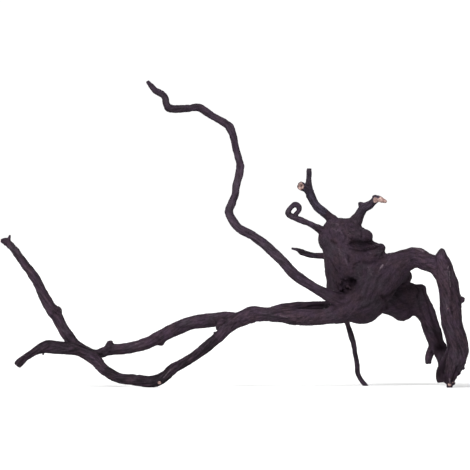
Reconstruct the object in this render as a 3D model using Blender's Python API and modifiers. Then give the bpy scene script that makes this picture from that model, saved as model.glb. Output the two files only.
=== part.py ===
"""A branching piece of dark spiderwood that stands on three feet.

Frame: metres, +Z up, the front faces -Y. The origin is the middle of the piece's
bounding box, at the level of the surface that it stands on.

The wood is one growth: a knotted stump with roots that leave it, fork, cross and taper.
Every root is a tapering round tube along a route, the stump is a heap of lumps, and all
of it is fused into one skin. The skin is then parted with fine saw kerfs at its main
forks, so that each main limb is a solid of its own.
"""

import math

import bmesh
import bpy
from mathutils import Vector
from mathutils.bvhtree import BVHTree

MM = 0.001

# Where the bounding box's middle lies in the routes' frame, in millimetres
MIDDLE_X = -1.4
MIDDLE_Y = -0.8

# Fusing the tubes: the grain of the skin, its smoothing and its final number of triangles
SKIN_GRAIN = 1.2 * MM
SKIN_SMOOTHING = 0.5
SKIN_SMOOTHING_STEPS = 5
SKIN_TRIANGLES = 7800

# Roundness of a root's tube and of a lump, steps of a root's curve between two points of its
# route, and the distance within which a tube's caps are welded to its rims
TUBE_RESOLUTION = 4
BALL_SUBDIVISIONS = 3
STEPS_BETWEEN_POINTS = 3
WELD = 0.01 * MM

# Width of the kerf that parts two limbs at a fork
KERF = 0.3 * MM
KERF_SIDES = 24

# The block that trims the feet flat: it is wider than the piece, and its top is the surface
BLOCK_WIDTH = 600 * MM
BLOCK_DEPTH = 300 * MM
BLOCK_HEIGHT = 40 * MM

# Routes, from the stump outwards: right, back, up and thickness, in millimetres
STUMP_TRUNK = [
    (108.6, 7, 168.6, 20),
    (108.4, 7, 165, 31),
    (107.8, 7, 158, 42),
    (109.8, 7, 148, 47.4),
    (113.8, 8, 136, 51.4),
    (117.4, 8, 120, 55.2),
    (119.4, 9, 103, 54),
    (120.5, 8, 89, 48),
    (120, 5, 80, 32),
]
DIAGONAL_BAND = [
    (171, -12, 124, 24),
    (162, -10, 120.4, 29),
    (150, -9, 110.6, 34.6),
    (139, -9, 99, 37),
    (129, -8, 90, 37),
    (117, -8, 82, 31),
    (105, -9, 75, 24),
    (92, -11, 71.4, 17.5),
]
MAIN_ROOT = [
    (105, -9, 76, 22),
    (92, -11, 71, 16.5),
    (74, -12, 69.8, 17.2),
    (61, -12, 70.2, 17.3),
    (47.5, -11, 72.2, 16.6),
    (33, -9, 72.7, 14.4),
    (24, -7, 72.9, 15.9),
    (18, -5, 72.8, 17.4),
    (11.8, -4, 70.8, 17),
    (4.6, -3, 67.9, 16.4),
    (-3, -2, 65.6, 16),
]
TOP_STRAND = [
    (112, 8, 84, 18),
    (92, 6, 81.4, 10),
    (74, 4, 81, 9.8),
    (61, 3, 80.3, 9.8),
    (47.5, 0, 79, 9.4),
    (35, -3, 75.6, 8.2),
    (27, -5, 73, 6),
]
UPPER_ARC = [
    (1, -1, 67.4, 15),
    (-8.5, 4, 67.9, 15),
    (-18.7, 8, 66.8, 14.8),
    (-33, 13, 65.8, 14.2),
    (-43.4, 16, 63.8, 14.2),
    (-53.6, 18, 60.8, 14),
    (-63.8, 20, 55.8, 14),
    (-74, 21, 50.4, 13.8),
    (-82.2, 21, 46.4, 12.9),
    (-92.2, 20, 42.2, 12.2),
    (-104.6, 18, 39, 11.6),
    (-114.8, 16, 37.9, 12),
    (-124, 14, 37.4, 11.8),
    (-131, 12, 34.9, 10.4),
    (-138, 10, 32.4, 9.8),
    (-145, 9, 33.2, 11),
]
ANTLER_ROOT = [
    (-144, 7, 33, 11),
    (-151.8, 9, 35.8, 12.3),
    (-158.2, 10, 40, 12.6),
    (-163.3, 11, 45.2, 12.6),
    (-168.3, 12, 51.8, 12.4),
    (-174.2, 13, 61, 11.2),
    (-178, 14, 69.2, 12.2),
    (-182.2, 15, 75.4, 13.8),
    (-187.5, 16, 82.8, 12.1),
    (-191.9, 17, 91, 10.9),
    (-195, 18, 98.1, 10.2),
    (-199.2, 19, 106.1, 10.2),
    (-205.1, 21, 115, 9.9),
    (-211.2, 22, 122.8, 9.1),
    (-216.8, 24, 130.7, 8.5),
    (-221.7, 25, 137.5, 8),
    (-226.8, 26, 143.1, 7.2),
    (-230.8, 27, 146, 7.2),
    (-235.2, 28, 145.6, 4.4),
]
LOWER_ARC = [
    (2, -4, 65, 13),
    (-7.4, -9, 58.8, 12),
    (-15.2, -13, 51.5, 11.6),
    (-23.3, -16, 44.8, 11),
    (-33.2, -19, 36.8, 10.8),
    (-43, -21, 29.8, 10.2),
    (-53.3, -22, 23.4, 10.2),
    (-61.5, -22, 18.6, 11),
    (-68.8, -22, 12.4, 11),
    (-75.8, -21, 7.8, 12.2),
    (-84, -20, 5.9, 12.8),
    (-94.4, -18, 7, 11.6),
    (-104.8, -15, 7.7, 11),
    (-115.6, -12, 9.1, 10.9),
    (-124.1, -9, 13, 11.5),
    (-132, -7, 18.8, 11.2),
    (-138.2, -5, 26, 12.4),
    (-145, -4, 31.4, 12.8),
    (-152, -5, 35.4, 12.6),
]
HOOKED_ROOT = [
    (-149, -4, 34.2, 12.2),
    (-157.4, -6, 37.4, 13),
    (-166.4, -8, 38.6, 13.6),
    (-177.6, -11, 39.7, 14.2),
    (-186.6, -13, 40.5, 14),
    (-192.5, -15, 39.4, 11.6),
    (-200.2, -18, 35.2, 8.2),
    (-208, -22, 30.3, 7.6),
    (-213.6, -25, 25.7, 8.9),
    (-216.4, -27, 22.3, 8.2),
]
WHISKER_ROOT = [
    (110, -10, 84, 20),
    (100, -17, 88.5, 15.5),
    (92.1, -21, 92.2, 12.6),
    (83.2, -24, 97.1, 11),
    (74.5, -26, 102.1, 10.6),
    (65.8, -27, 108, 10.6),
    (57.1, -28, 114.9, 10.6),
    (48.6, -28, 124.2, 10.6),
    (39.6, -27, 133, 10.4),
    (30.3, -26, 141.6, 9.8),
    (20, -25, 150.1, 9.7),
    (11.6, -23, 154.3, 9.2),
    (3.8, -21, 159.1, 9.1),
    (-2.2, -18, 166.2, 8.9),
    (-6.1, -14, 175, 8.7),
    (-3.1, -10, 184.2, 8.2),
    (0.1, -7, 192.3, 7.9),
    (1.3, -4, 201.5, 7.9),
    (3.7, -1, 210.7, 8.3),
    (5.3, 3, 220.9, 8.3),
    (3, 6, 230.1, 7.5),
    (0.4, 9, 240.3, 7.4),
    (-1.8, 11, 250.7, 7.8),
    (-5.4, 13, 260.2, 8.7),
    (-11.4, 14, 265, 7.9),
    (-19.6, 15, 269.5, 7.5),
    (-27.9, 15, 274.7, 7.9),
    (-36, 14, 279.8, 8.1),
    (-44.2, 13, 279, 7.5),
    (-54.4, 11, 278.3, 8.3),
    (-64.6, 9, 278.4, 8.3),
    (-68.2, 7, 282.1, 7.8),
    (-71.1, 5, 291.5, 7.5),
    (-79.8, 2, 296.5, 6.6),
    (-85.6, -1, 303.1, 5),
    (-87.6, -2, 306, 3),
]
SHOULDER = [
    (137, -4, 111, 40),
    (151, -8, 117, 32.4),
    (163, -12, 122.6, 26.6),
    (173, -15, 127.5, 22.4),
    (182, -19, 129.7, 20.2),
    (191.8, -24, 125, 18.6),
    (200, -29, 122.2, 19.2),
    (207.2, -33, 115, 21.4),
    (210.8, -36, 105.6, 21.8),
    (212.8, -38, 94.6, 21.4),
    (214.2, -39, 84, 21.9),
    (215, -40, 72, 22),
    (216.4, -40, 60, 22),
    (219.6, -39, 49, 22.2),
    (221.6, -37, 40, 22.2),
    (221.6, -35, 31, 21.2),
    (217.8, -32, 22, 18.6),
    (214.4, -29, 13, 14.6),
    (214, -27, 5, 10),
    (213.6, -26, -4, 7),
]
FOOT_STRAND = [
    (217.6, -31, 38, 14),
    (211.8, -26, 27, 13.4),
    (207.8, -23, 17, 13.8),
    (206.6, -22, 10, 13.6),
    (207.2, -21.5, 5, 12),
]
LEG_CREST = [
    (207, -33, 139, 4),
    (206, -33.5, 135.4, 8.6),
    (205.6, -34, 130, 13.6),
    (207, -35, 122.6, 18),
    (209.4, -36, 112, 20.6),
    (211.4, -37, 102, 18),
]
INNER_LEG = [
    (140, 6, 98, 40),
    (154, 14, 92, 40),
    (167, 18, 88.5, 38),
    (179, 20, 87, 30.4),
    (190, 21, 75.6, 21.2),
    (195, 20, 64.5, 18.2),
    (198.4, 19, 54.7, 18),
    (201, 14, 45.6, 17.2),
    (205.6, 4, 36, 15),
    (208.8, -7, 26, 13.6),
    (209, -15, 16, 13),
]
LEG_STUB = [
    (200, 15, 42, 11),
    (195.9, 15, 34.5, 9),
    (193.9, 15, 28, 7.6),
    (193.6, 15, 22.6, 6.6),
]
LEFT_HORN = [
    (107, 6, 156, 12),
    (100, 3, 164.6, 11),
    (94.2, 1, 169.9, 9.6),
    (87.8, -1, 175.6, 9.4),
    (82.2, -3, 180, 9.1),
    (78.4, -4, 185.9, 8.5),
    (75.3, -5, 192.5, 8.8),
    (73.8, -6, 198.4, 8.2),
    (73.5, -6, 204, 6.4),
    (73.5, -5, 209.1, 5.7),
    (74, -4, 214.2, 5.6),
    (74, -3, 219, 5.2),
]
HORN_STUB = [
    (74.2, -6, 197.2, 7.8),
    (70.2, -9.5, 199.2, 7.8),
    (65, -15, 201.8, 9.6),
]
RIGHT_HORN = [
    (117, 6, 158, 20),
    (122.6, 3, 168.5, 12.5),
    (125.8, 1, 174.8, 10.2),
    (129.8, -1, 179.5, 9.8),
    (135.2, -3, 182.4, 8.4),
    (139.4, -5, 186.2, 7.4),
    (142, -6, 188.5, 6.8),
    (146, -7, 187.2, 6),
    (149.2, -8, 185.8, 4.2),
    (151.8, -8, 185, 2.4),
]
HORN_SPUR = [
    (128.5, 0, 179.5, 7.4),
    (125.6, -1, 182.7, 5.2),
    (124.2, -1, 185, 3.2),
]
CURLED_TENDRIL = [
    (92, 2, 153.4, 11),
    (84.5, -2, 158, 8.4),
    (79.4, -5, 160.6, 6.9),
    (74.2, -7, 163.2, 6.4),
    (69.1, -8, 165.4, 6.3),
    (64.7, -9, 167.2, 6.3),
    (60.2, -10, 169, 5.9),
    (55.7, -10.5, 170.8, 5.7),
    (52.6, -11, 172.9, 5.2),
    (53.4, -11.5, 176.3, 5.5),
    (56.2, -12, 179.7, 5.4),
    (59, -12.5, 182.1, 5.3),
    (61.8, -13, 182.7, 5.2),
    (64, -13, 180.8, 5.1),
    (64.3, -12.5, 177.6, 5.1),
    (62.7, -12, 174.8, 5),
    (60, -11.5, 172.2, 4.6),
]
SIDE_TWIG = [
    (98, 20, 131, 10),
    (87.3, 22, 131, 6.7),
    (82.2, 24, 130.9, 6.4),
    (75.8, 26, 132.1, 6.2),
    (70.7, 28, 133.4, 6.4),
    (66.8, 29.5, 134.8, 6.6),
    (64.2, 30, 136.5, 4.6),
    (60.6, 30.5, 137.8, 3.4),
    (56.6, 31, 138.6, 2.8),
]
PROP_TWIG = [
    (109.6, 16, 75, 9),
    (112.6, 22, 64.2, 5.9),
    (114.5, 25, 57.3, 5.8),
    (116.9, 28, 50.4, 5.8),
    (119.1, 31, 42.7, 5.7),
    (120.3, 34, 35.8, 5.1),
    (121.7, 37, 29, 5),
    (122.8, 39, 22.1, 5),
    (123.4, 41, 15.2, 5.3),
    (124.8, 43, 9.8, 5.3),
    (127.6, 45, 5.2, 5.1),
    (131.4, 47, 0.8, 4.8),
    (132.8, 47.5, -1.4, 4.6),
]
BACK_STRAND = [
    (104, 14, 160, 16),
    (108, 24, 148, 18),
    (116, 31, 132, 17),
    (128, 35, 116, 18),
    (141, 35, 102, 20),
    (155, 32, 93, 22),
    (168, 26, 88, 22),
]
BACK_STUB = [
    (106, 24, 112, 16),
    (104, 33, 108, 11),
    (102.6, 40, 105.5, 9.4),
    (102, 44, 104, 9),
]
ANTLER_THORN = [
    (-228.6, 26, 144.5, 5),
    (-226.8, 26, 148.4, 3.4),
    (-226, 26, 152.4, 2.4),
]
LEG_THORN = [
    (221, -37, 88, 8),
    (226, -38, 88.3, 5),
    (228.6, -38, 88, 3),
]
ROUTES = [
    STUMP_TRUNK,
    DIAGONAL_BAND,
    MAIN_ROOT,
    TOP_STRAND,
    UPPER_ARC,
    ANTLER_ROOT,
    LOWER_ARC,
    HOOKED_ROOT,
    WHISKER_ROOT,
    SHOULDER,
    LEG_CREST,
    FOOT_STRAND,
    INNER_LEG,
    LEG_STUB,
    LEFT_HORN,
    HORN_STUB,
    RIGHT_HORN,
    HORN_SPUR,
    CURLED_TENDRIL,
    SIDE_TWIG,
    PROP_TWIG,
    BACK_STRAND,
    BACK_STUB,
    ANTLER_THORN,
    LEG_THORN,
]

# Lumps that stand proud of the roots: middle and half sizes, in millimetres
LUMPS = [
    ((125.8, -8, 150.2), (11.8, 15, 8.4)),  # brow over the stump's eye-like hollow
    ((135, -4, 132.4), (15.4, 22, 13.5)),  # ledge under that hollow
    ((145.4, -8, 138.6), (5, 8, 5)),  # crust at the ledge's end
    ((120, 16, 138), (19, 18, 20)),  # the stump's back
    ((119, 12, 100), (27.4, 27, 24)),  # the stump's belly
    ((126, 3, 73.4), (18, 18, 10.4)),  # the stump's underside
    ((141, 0, 77), (8, 12, 6.4)),  # its outer end
    ((169.2, 4, 110), (8.4, 14, 8.6)),  # web between shoulder and inner leg
    ((168, 16, 77), (12, 12, 11.4)),  # swelling under the inner leg's root
    ((92, 4, 148), (9, 14, 12)),  # cheek beside the tendril
    ((-15.6, -2, 59.4), (4.4, 7, 3.6)),  # web in the crotch of the two arcs
    ((-125.8, 12, 42.2), (4.2, 4.4, 4.4)),  # knob on the upper arc
    ((-75, 20, 43.6), (4.4, 4.6, 3.6)),  # knuckle under the upper arc
    ((-178, 14, 76), (5, 6, 5)),  # knuckle on the antler root
    ((186.4, 20, 97), (6.6, 7, 6.6)),  # knuckle on the inner leg
    ((157.4, 16, 74.5), (4, 5, 4)),  # stub of a lost rootlet under the stump
]

# Hollows that time has eaten into the stump: middle and half sizes, in millimetres
HOLLOWS = [
    ((116, -30, 142.4), (15, 14, 6.6)),  # shallow dish round the eye-like hollow
    ((125.4, -23, 142), (14, 14, 4.4)),  # eye-like hollow between brow and ledge
    ((119, -19, 143.2), (7, 10, 4.2)),  # its inner end
    ((140, -17, 144.4), (9.4, 13, 3.2)),  # its outer end
    ((110.4, -24, 101.6), (13, 13, 9.8)),  # pit over the whisker
    ((116, -14, 105.6), (3.6, 6, 3.4)),  # the pit's right hole
    ((108.6, -15, 96), (3.6, 6, 3)),  # the pit's lower hole
    ((153.6, -2, 72.6), (3.4, 16, 4.4)),  # notch between the stump and the inner leg
    ((108, 43, 122), (9, 8, 13)),  # hollow in the stump's back
    ((137, 22, 135), (9, 16, 8)),  # cleft behind the ledge
    ((134, 30, 76), (14, 10, 8)),  # undercut of the back
    ((82, -2, 77.5), (10, 8, 1.6)),  # slot between the main root and the strand over it
]

# Kerfs at the main forks: middle, the way the limb runs there, and the kerf's radius
KERFS = [
    ((83.2, -24, 97.3), (-0.87, -0.25, 0.42), 8),  # stump and whisker
    ((72, -6, 74), (-1, 0, 0), 18),  # stump and main root
    ((-20.5, 9, 66.5), (-1, 0.3, 0), 9.2),  # main root and upper arc
    ((-19, -14.5, 47.8), (-0.72, -0.25, -0.65), 8.6),  # main root and lower arc
    ((-133, 11.5, 35), (-0.95, -0.2, -0.25), 7),  # upper arc and hooked root
    ((-129.6, -7.6, 16.8), (-0.78, 0.2, 0.58), 8.4),  # lower arc and hooked root
    ((-167, 12, 51.8), (-0.58, 0.1, 0.81), 9),  # hooked root and antler root
    ((178, -17.4, 128.8), (1, -0.4, 0.1), 14),  # stump and outer leg
    ((189.5, 20.8, 71), (0.55, -0.05, -0.83), 13),  # stump and inner leg
    ((204.3, 8, 39.5), (0.35, -0.75, -0.6), 10.5),  # inner leg and the outer leg's foot
    ((89.6, -0.4, 174), (-0.72, -0.25, 0.64), 7.5),  # stump and left horn
    ((125, 1.7, 172.6), (0.4, -0.25, 0.88), 8.5),  # stump and right horn
    ((80.6, -4.5, 160.8), (-0.86, -0.4, 0.4), 5.6),  # stump and tendril
    ((83.5, 23.4, 131.2), (-0.94, 0.34, 0), 5.4),  # stump and side twig
    ((113.8, 24, 59.8), (0.2, 0.4, -0.88), 5),  # stump and prop twig
]

# A point inside each limb, which tells the parted solids from one another
LIMBS = {
    "stump": (117, 8, 120),
    "main_root": (30, -8, 72.5),
    "upper_arc": (-63.6, 20, 55.3),
    "lower_arc": (-68.7, -22, 12.7),
    "hooked_root": (-177.6, -11, 39.7),
    "antler_root": (-193, 18, 98.1),
    "whisker_root": (1.4, -4, 201.5),
    "outer_leg": (216.8, -40, 72),
    "inner_leg": (197.4, 19, 54.7),
    "left_horn": (79, -4, 186.3),
    "right_horn": (134.3, -3, 183.5),
    "curled_tendril": (65, -9, 168),
    "side_twig": (75.8, 26, 132.5),
    "prop_twig": (120.3, 34, 35.8),
}

# The skew ray that tells whether a body encloses a point, and how far past a hit it goes on
PROBE = Vector((0.31, 0.52, 0.79)).normalized()
PROBE_STEP = 0.001 * MM

# Colours, linear, with roughness: weathered dark wood, a little lighter where it is thin
STUMP_COLOUR = (0.040, 0.030, 0.037, 1)
ROOT_COLOUR = (0.046, 0.034, 0.042, 1)
TWIG_COLOUR = (0.052, 0.041, 0.051, 1)
WOOD_ROUGHNESS = 0.82
SHARP_EDGE = math.radians(50)
TWIGS = ("whisker_root", "left_horn", "right_horn", "curled_tendril", "side_twig", "prop_twig")


def place(right, back, up):
    """A point given in millimetres in the routes' frame, in metres in the part's frame."""
    return Vector(((right - MIDDLE_X) * MM, (back - MIDDLE_Y) * MM, up * MM))


def between(before, start, end, after, share):
    """The Catmull-Rom curve through four values, at this share of the way from start to end."""
    slope_in = (end - before) / 2
    slope_out = (after - start) / 2
    rise = start - end
    return (
        start
        + slope_in * share
        + (-3 * rise - 2 * slope_in - slope_out) * share**2
        + (2 * rise + slope_in + slope_out) * share**3
    )


def smooth_route(route):
    """The route's points with a smooth curve filled in between them."""
    ends_doubled = [route[0], *route, route[-1]]
    points = []
    for i in range(len(route) - 1):
        four = ends_doubled[i : i + 4]
        for step in range(STEPS_BETWEEN_POINTS):
            share = step / STEPS_BETWEEN_POINTS
            points.append([between(*values, share) for values in zip(*four)])
    points.append(list(route[-1]))
    return points


def clear_scene():
    for obj in list(bpy.data.objects):
        bpy.data.objects.remove(obj)


def collection(name):
    made = bpy.data.collections.new(name)
    bpy.context.scene.collection.children.link(made)
    return made


def mesh_of(obj):
    """A new mesh of the object as its modifiers leave it, in the part's frame, its caps welded."""
    bpy.context.view_layer.update()
    graph = bpy.context.evaluated_depsgraph_get()
    mesh = bpy.data.meshes.new_from_object(obj.evaluated_get(graph), depsgraph=graph)
    mesh.transform(obj.matrix_world)
    shape = bmesh.new()
    shape.from_mesh(mesh)
    bmesh.ops.remove_doubles(shape, verts=shape.verts, dist=WELD)
    shape.to_mesh(mesh)
    shape.free()
    return mesh


def tube_along(route, into):
    """A root: a curve whose bevel follows the route's thickness."""
    curve = bpy.data.curves.new("root", "CURVE")
    curve.dimensions = "3D"
    curve.bevel_depth = 1.0
    curve.bevel_resolution = TUBE_RESOLUTION
    curve.use_fill_caps = True
    spline = curve.splines.new("POLY")
    points = smooth_route(route)
    spline.points.add(len(points) - 1)
    for knot, (right, back, up, thickness) in zip(spline.points, points):
        knot.co = (*place(right, back, up), 1)
        knot.radius = thickness * MM / 2
    tube = bpy.data.objects.new("root", curve)
    into.objects.link(tube)
    return tube


def ball(middle, half_sizes, name, into):
    """An ellipsoid, from an icosphere of radius 1."""
    shape = bmesh.new()
    bmesh.ops.create_icosphere(shape, subdivisions=BALL_SUBDIVISIONS, radius=1)
    bmesh.ops.scale(shape, vec=Vector(half_sizes) * MM, verts=shape.verts)
    bmesh.ops.translate(shape, vec=place(*middle), verts=shape.verts)
    mesh = bpy.data.meshes.new(name)
    shape.to_mesh(mesh)
    shape.free()
    made = bpy.data.objects.new(name, mesh)
    into.objects.link(made)
    return made


def joined(objects, name, into):
    """One object that holds the meshes of all of these, which are then removed."""
    whole = bmesh.new()
    for obj in objects:
        mesh = mesh_of(obj)
        whole.from_mesh(mesh)
        bpy.data.meshes.remove(mesh)
        bpy.data.objects.remove(obj)
    mesh = bpy.data.meshes.new(name)
    whole.to_mesh(mesh)
    whole.free()
    made = bpy.data.objects.new(name, mesh)
    into.objects.link(made)
    return made


def voxel_skin(obj):
    """Fuses whatever overlaps in the object into one even skin."""
    remesh = obj.modifiers.new("fuse", "REMESH")
    remesh.mode = "VOXEL"
    remesh.voxel_size = SKIN_GRAIN


def smoothed(obj, steps):
    smooth = obj.modifiers.new("soften", "SMOOTH")
    smooth.factor = SKIN_SMOOTHING
    smooth.iterations = steps


def cut_away(obj, cutter):
    cut = obj.modifiers.new("cut", "BOOLEAN")
    cut.operation = "DIFFERENCE"
    cut.object = cutter


def as_helper(obj):
    obj.hide_render = True
    obj.display_type = "WIRE"


def fused_wood(workshop):
    """The whole piece as one skin, thinned to its final number of triangles."""
    tubes = [tube_along(route, workshop) for route in ROUTES]
    lumps = [ball(middle, sizes, "lump", workshop) for middle, sizes in LUMPS]
    wood = joined(tubes + lumps, "wood", workshop)
    voxel_skin(wood)
    for middle, sizes in HOLLOWS:
        hollow = ball(middle, sizes, "hollow", workshop)
        as_helper(hollow)
        cut_away(wood, hollow)
    wood = joined([wood], "hollowed_wood", workshop)
    voxel_skin(wood)
    smoothed(wood, SKIN_SMOOTHING_STEPS)
    wood = joined([wood], "fine_wood", workshop)
    thin = wood.modifiers.new("thin", "DECIMATE")
    triangles = sum(len(face.vertices) - 2 for face in wood.data.polygons)
    thin.ratio = SKIN_TRIANGLES / triangles
    return joined([wood], "fused_wood", workshop)


def floor_block(workshop):
    """A block whose top is the surface that the wood stands on: it trims the feet flat."""
    shape = bmesh.new()
    bmesh.ops.create_cube(shape, size=1)
    bmesh.ops.scale(shape, vec=(BLOCK_WIDTH, BLOCK_DEPTH, BLOCK_HEIGHT), verts=shape.verts)
    bmesh.ops.translate(shape, vec=(0, 0, -BLOCK_HEIGHT / 2), verts=shape.verts)
    mesh = bpy.data.meshes.new("floor_block")
    shape.to_mesh(mesh)
    shape.free()
    block = bpy.data.objects.new("floor_block", mesh)
    workshop.objects.link(block)
    return block


def kerf_disc(middle, way, radius, workshop):
    """A thin disc across a limb, which saws it through."""
    shape = bmesh.new()
    bmesh.ops.create_cone(
        shape,
        cap_ends=True,
        segments=KERF_SIDES,
        radius1=radius * MM,
        radius2=radius * MM,
        depth=KERF,
    )
    turn = Vector(way).to_track_quat("Z", "Y").to_matrix()
    bmesh.ops.rotate(shape, matrix=turn, verts=shape.verts)
    bmesh.ops.translate(shape, vec=place(*middle), verts=shape.verts)
    mesh = bpy.data.meshes.new("kerf")
    shape.to_mesh(mesh)
    shape.free()
    disc = bpy.data.objects.new("kerf", mesh)
    workshop.objects.link(disc)
    return disc


def islands(shape):
    """The vertices of each separate body in the bmesh, as sets."""
    left = set(shape.verts)
    found = []
    while left:
        island = set()
        edge_of_search = {left.pop()}
        while edge_of_search:
            vertex = edge_of_search.pop()
            island.add(vertex)
            near = {edge.other_vert(vertex) for edge in vertex.link_edges}
            edge_of_search |= near - island
        left -= island
        found.append(island)
    return found


def wood_material(name):
    """Dark wood for a limb: the twigs' is a little lighter than the roots'."""
    if name == "stump":
        colour = STUMP_COLOUR
    elif name in TWIGS:
        colour = TWIG_COLOUR
    else:
        colour = ROOT_COLOUR
    material = bpy.data.materials.new(name)
    material.use_nodes = True
    shader = material.node_tree.nodes["Principled BSDF"]
    shader.inputs["Base Color"].default_value = colour
    shader.inputs["Roughness"].default_value = WOOD_ROUGHNESS
    shader.inputs["Metallic"].default_value = 0
    return material


def encloses(tree, point):
    """Whether a ray from the point crosses the closed body's skin an odd number of times."""
    crossings = 0
    hit = tree.ray_cast(point, PROBE)[0]
    while hit:
        crossings += 1
        hit = tree.ray_cast(hit + PROBE * PROBE_STEP, PROBE)[0]
    return crossings % 2 == 1


def limb_name(limb):
    """The name of the limb whose own point the closed body encloses."""
    tree = BVHTree.FromBMesh(limb)
    names = [name for name, point in LIMBS.items() if encloses(tree, place(*point))]
    if len(names) != 1:
        raise ValueError(f"one body holds the points of these limbs: {names}")
    return names[0]


def part_limbs(wood, part):
    """Makes each separate body of the kerfed wood an object of its own, with its material."""
    whole = bmesh.new()
    whole.from_mesh(wood.data)
    whole.verts.index_update()
    limbs = {}
    for body in islands(whole):
        kept = {vertex.index for vertex in body}
        limb = whole.copy()
        limb.verts.index_update()
        others = [vertex for vertex in limb.verts if vertex.index not in kept]
        bmesh.ops.delete(limb, geom=others, context="VERTS")
        limbs[limb_name(limb)] = limb
    whole.free()
    for name, limb in sorted(limbs.items()):
        mesh = bpy.data.meshes.new(name)
        limb.to_mesh(mesh)
        limb.free()
        mesh.shade_smooth()
        mesh.set_sharp_from_angle(angle=SHARP_EDGE)
        mesh.materials.append(wood_material(name))
        part.objects.link(bpy.data.objects.new(name, mesh))


def build():
    clear_scene()
    part = collection("spiderwood")
    workshop = collection("workshop")
    wood = fused_wood(workshop)
    discs = [kerf_disc(middle, way, radius, workshop) for middle, way, radius in KERFS]
    saw = joined([floor_block(workshop), *discs], "saw", workshop)
    as_helper(saw)
    cut_away(wood, saw)
    wood = joined([wood], "parted_wood", workshop)
    part_limbs(wood, part)
    for helper in list(workshop.objects):
        bpy.data.objects.remove(helper)


build()
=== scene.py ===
"""The looks of a branching piece of dark spiderwood that stands on three feet.

The wood is made as it grows. Every root is a tapering tube along its route, the stump is a
heap of lumps, and all of it is fused into one skin. The skin then gets the wood's own
relief: fibres and furrows that run along each root, pits, cracks and broken ends. Last it is
parted at the main forks, so that each limb of the frame is replaced by a piece of its own.
"""

import math

import bmesh
import bpy
import numpy as np
from mathutils import Matrix, Vector, kdtree, noise
from mathutils.bvhtree import BVHTree


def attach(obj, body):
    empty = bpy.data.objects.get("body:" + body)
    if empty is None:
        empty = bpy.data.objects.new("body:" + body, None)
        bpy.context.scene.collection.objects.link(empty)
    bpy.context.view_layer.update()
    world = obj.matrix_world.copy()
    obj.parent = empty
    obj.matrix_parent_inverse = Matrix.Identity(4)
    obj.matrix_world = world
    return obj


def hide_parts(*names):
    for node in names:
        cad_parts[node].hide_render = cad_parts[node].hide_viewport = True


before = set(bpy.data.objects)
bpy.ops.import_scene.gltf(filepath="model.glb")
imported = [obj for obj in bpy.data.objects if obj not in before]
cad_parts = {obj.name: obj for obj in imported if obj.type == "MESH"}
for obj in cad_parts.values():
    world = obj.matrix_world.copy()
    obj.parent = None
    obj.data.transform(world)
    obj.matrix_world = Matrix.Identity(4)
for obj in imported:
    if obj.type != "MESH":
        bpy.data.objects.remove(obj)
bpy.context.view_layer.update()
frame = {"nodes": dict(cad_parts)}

MM = 0.001

# Where the bounding box's middle lies in the routes' frame, in millimetres
MIDDLE_X = -1.4
MIDDLE_Y = -0.8

# The camera, level and far off: one millimetre at the piece is one pixel
SENSOR = 36.0
CAMERA_DISTANCE = 6.0
CAMERA_HEIGHT = 152
PICTURE_WIDTH = 470
SEES_AS_FAR_AS = 100

# The studio: floor, backdrop, soft light from all round, and the lamps with the way that they
# shine, their strength, how wide they are in degrees, and whether they cast shadows
FLOOR_SIZE = 40.0
FLOOR_COLOUR = (0.90, 0.90, 0.90, 1)
FLOOR_ROUGHNESS = 0.9
WHITE = (1, 1, 1, 1)
BACKDROP_STRENGTH = 1.05
WORLD_STRENGTH = 0.42
LIGHTS = [
    ("window", (0.42, 0.74, -0.62), 4.6, 34, True),
    ("fill", (-0.75, 0.45, -0.30), 0.7, 60, True),
    ("fill_from_behind", (0.15, -1, -0.15), 1.6, 30, False),
]

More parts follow.
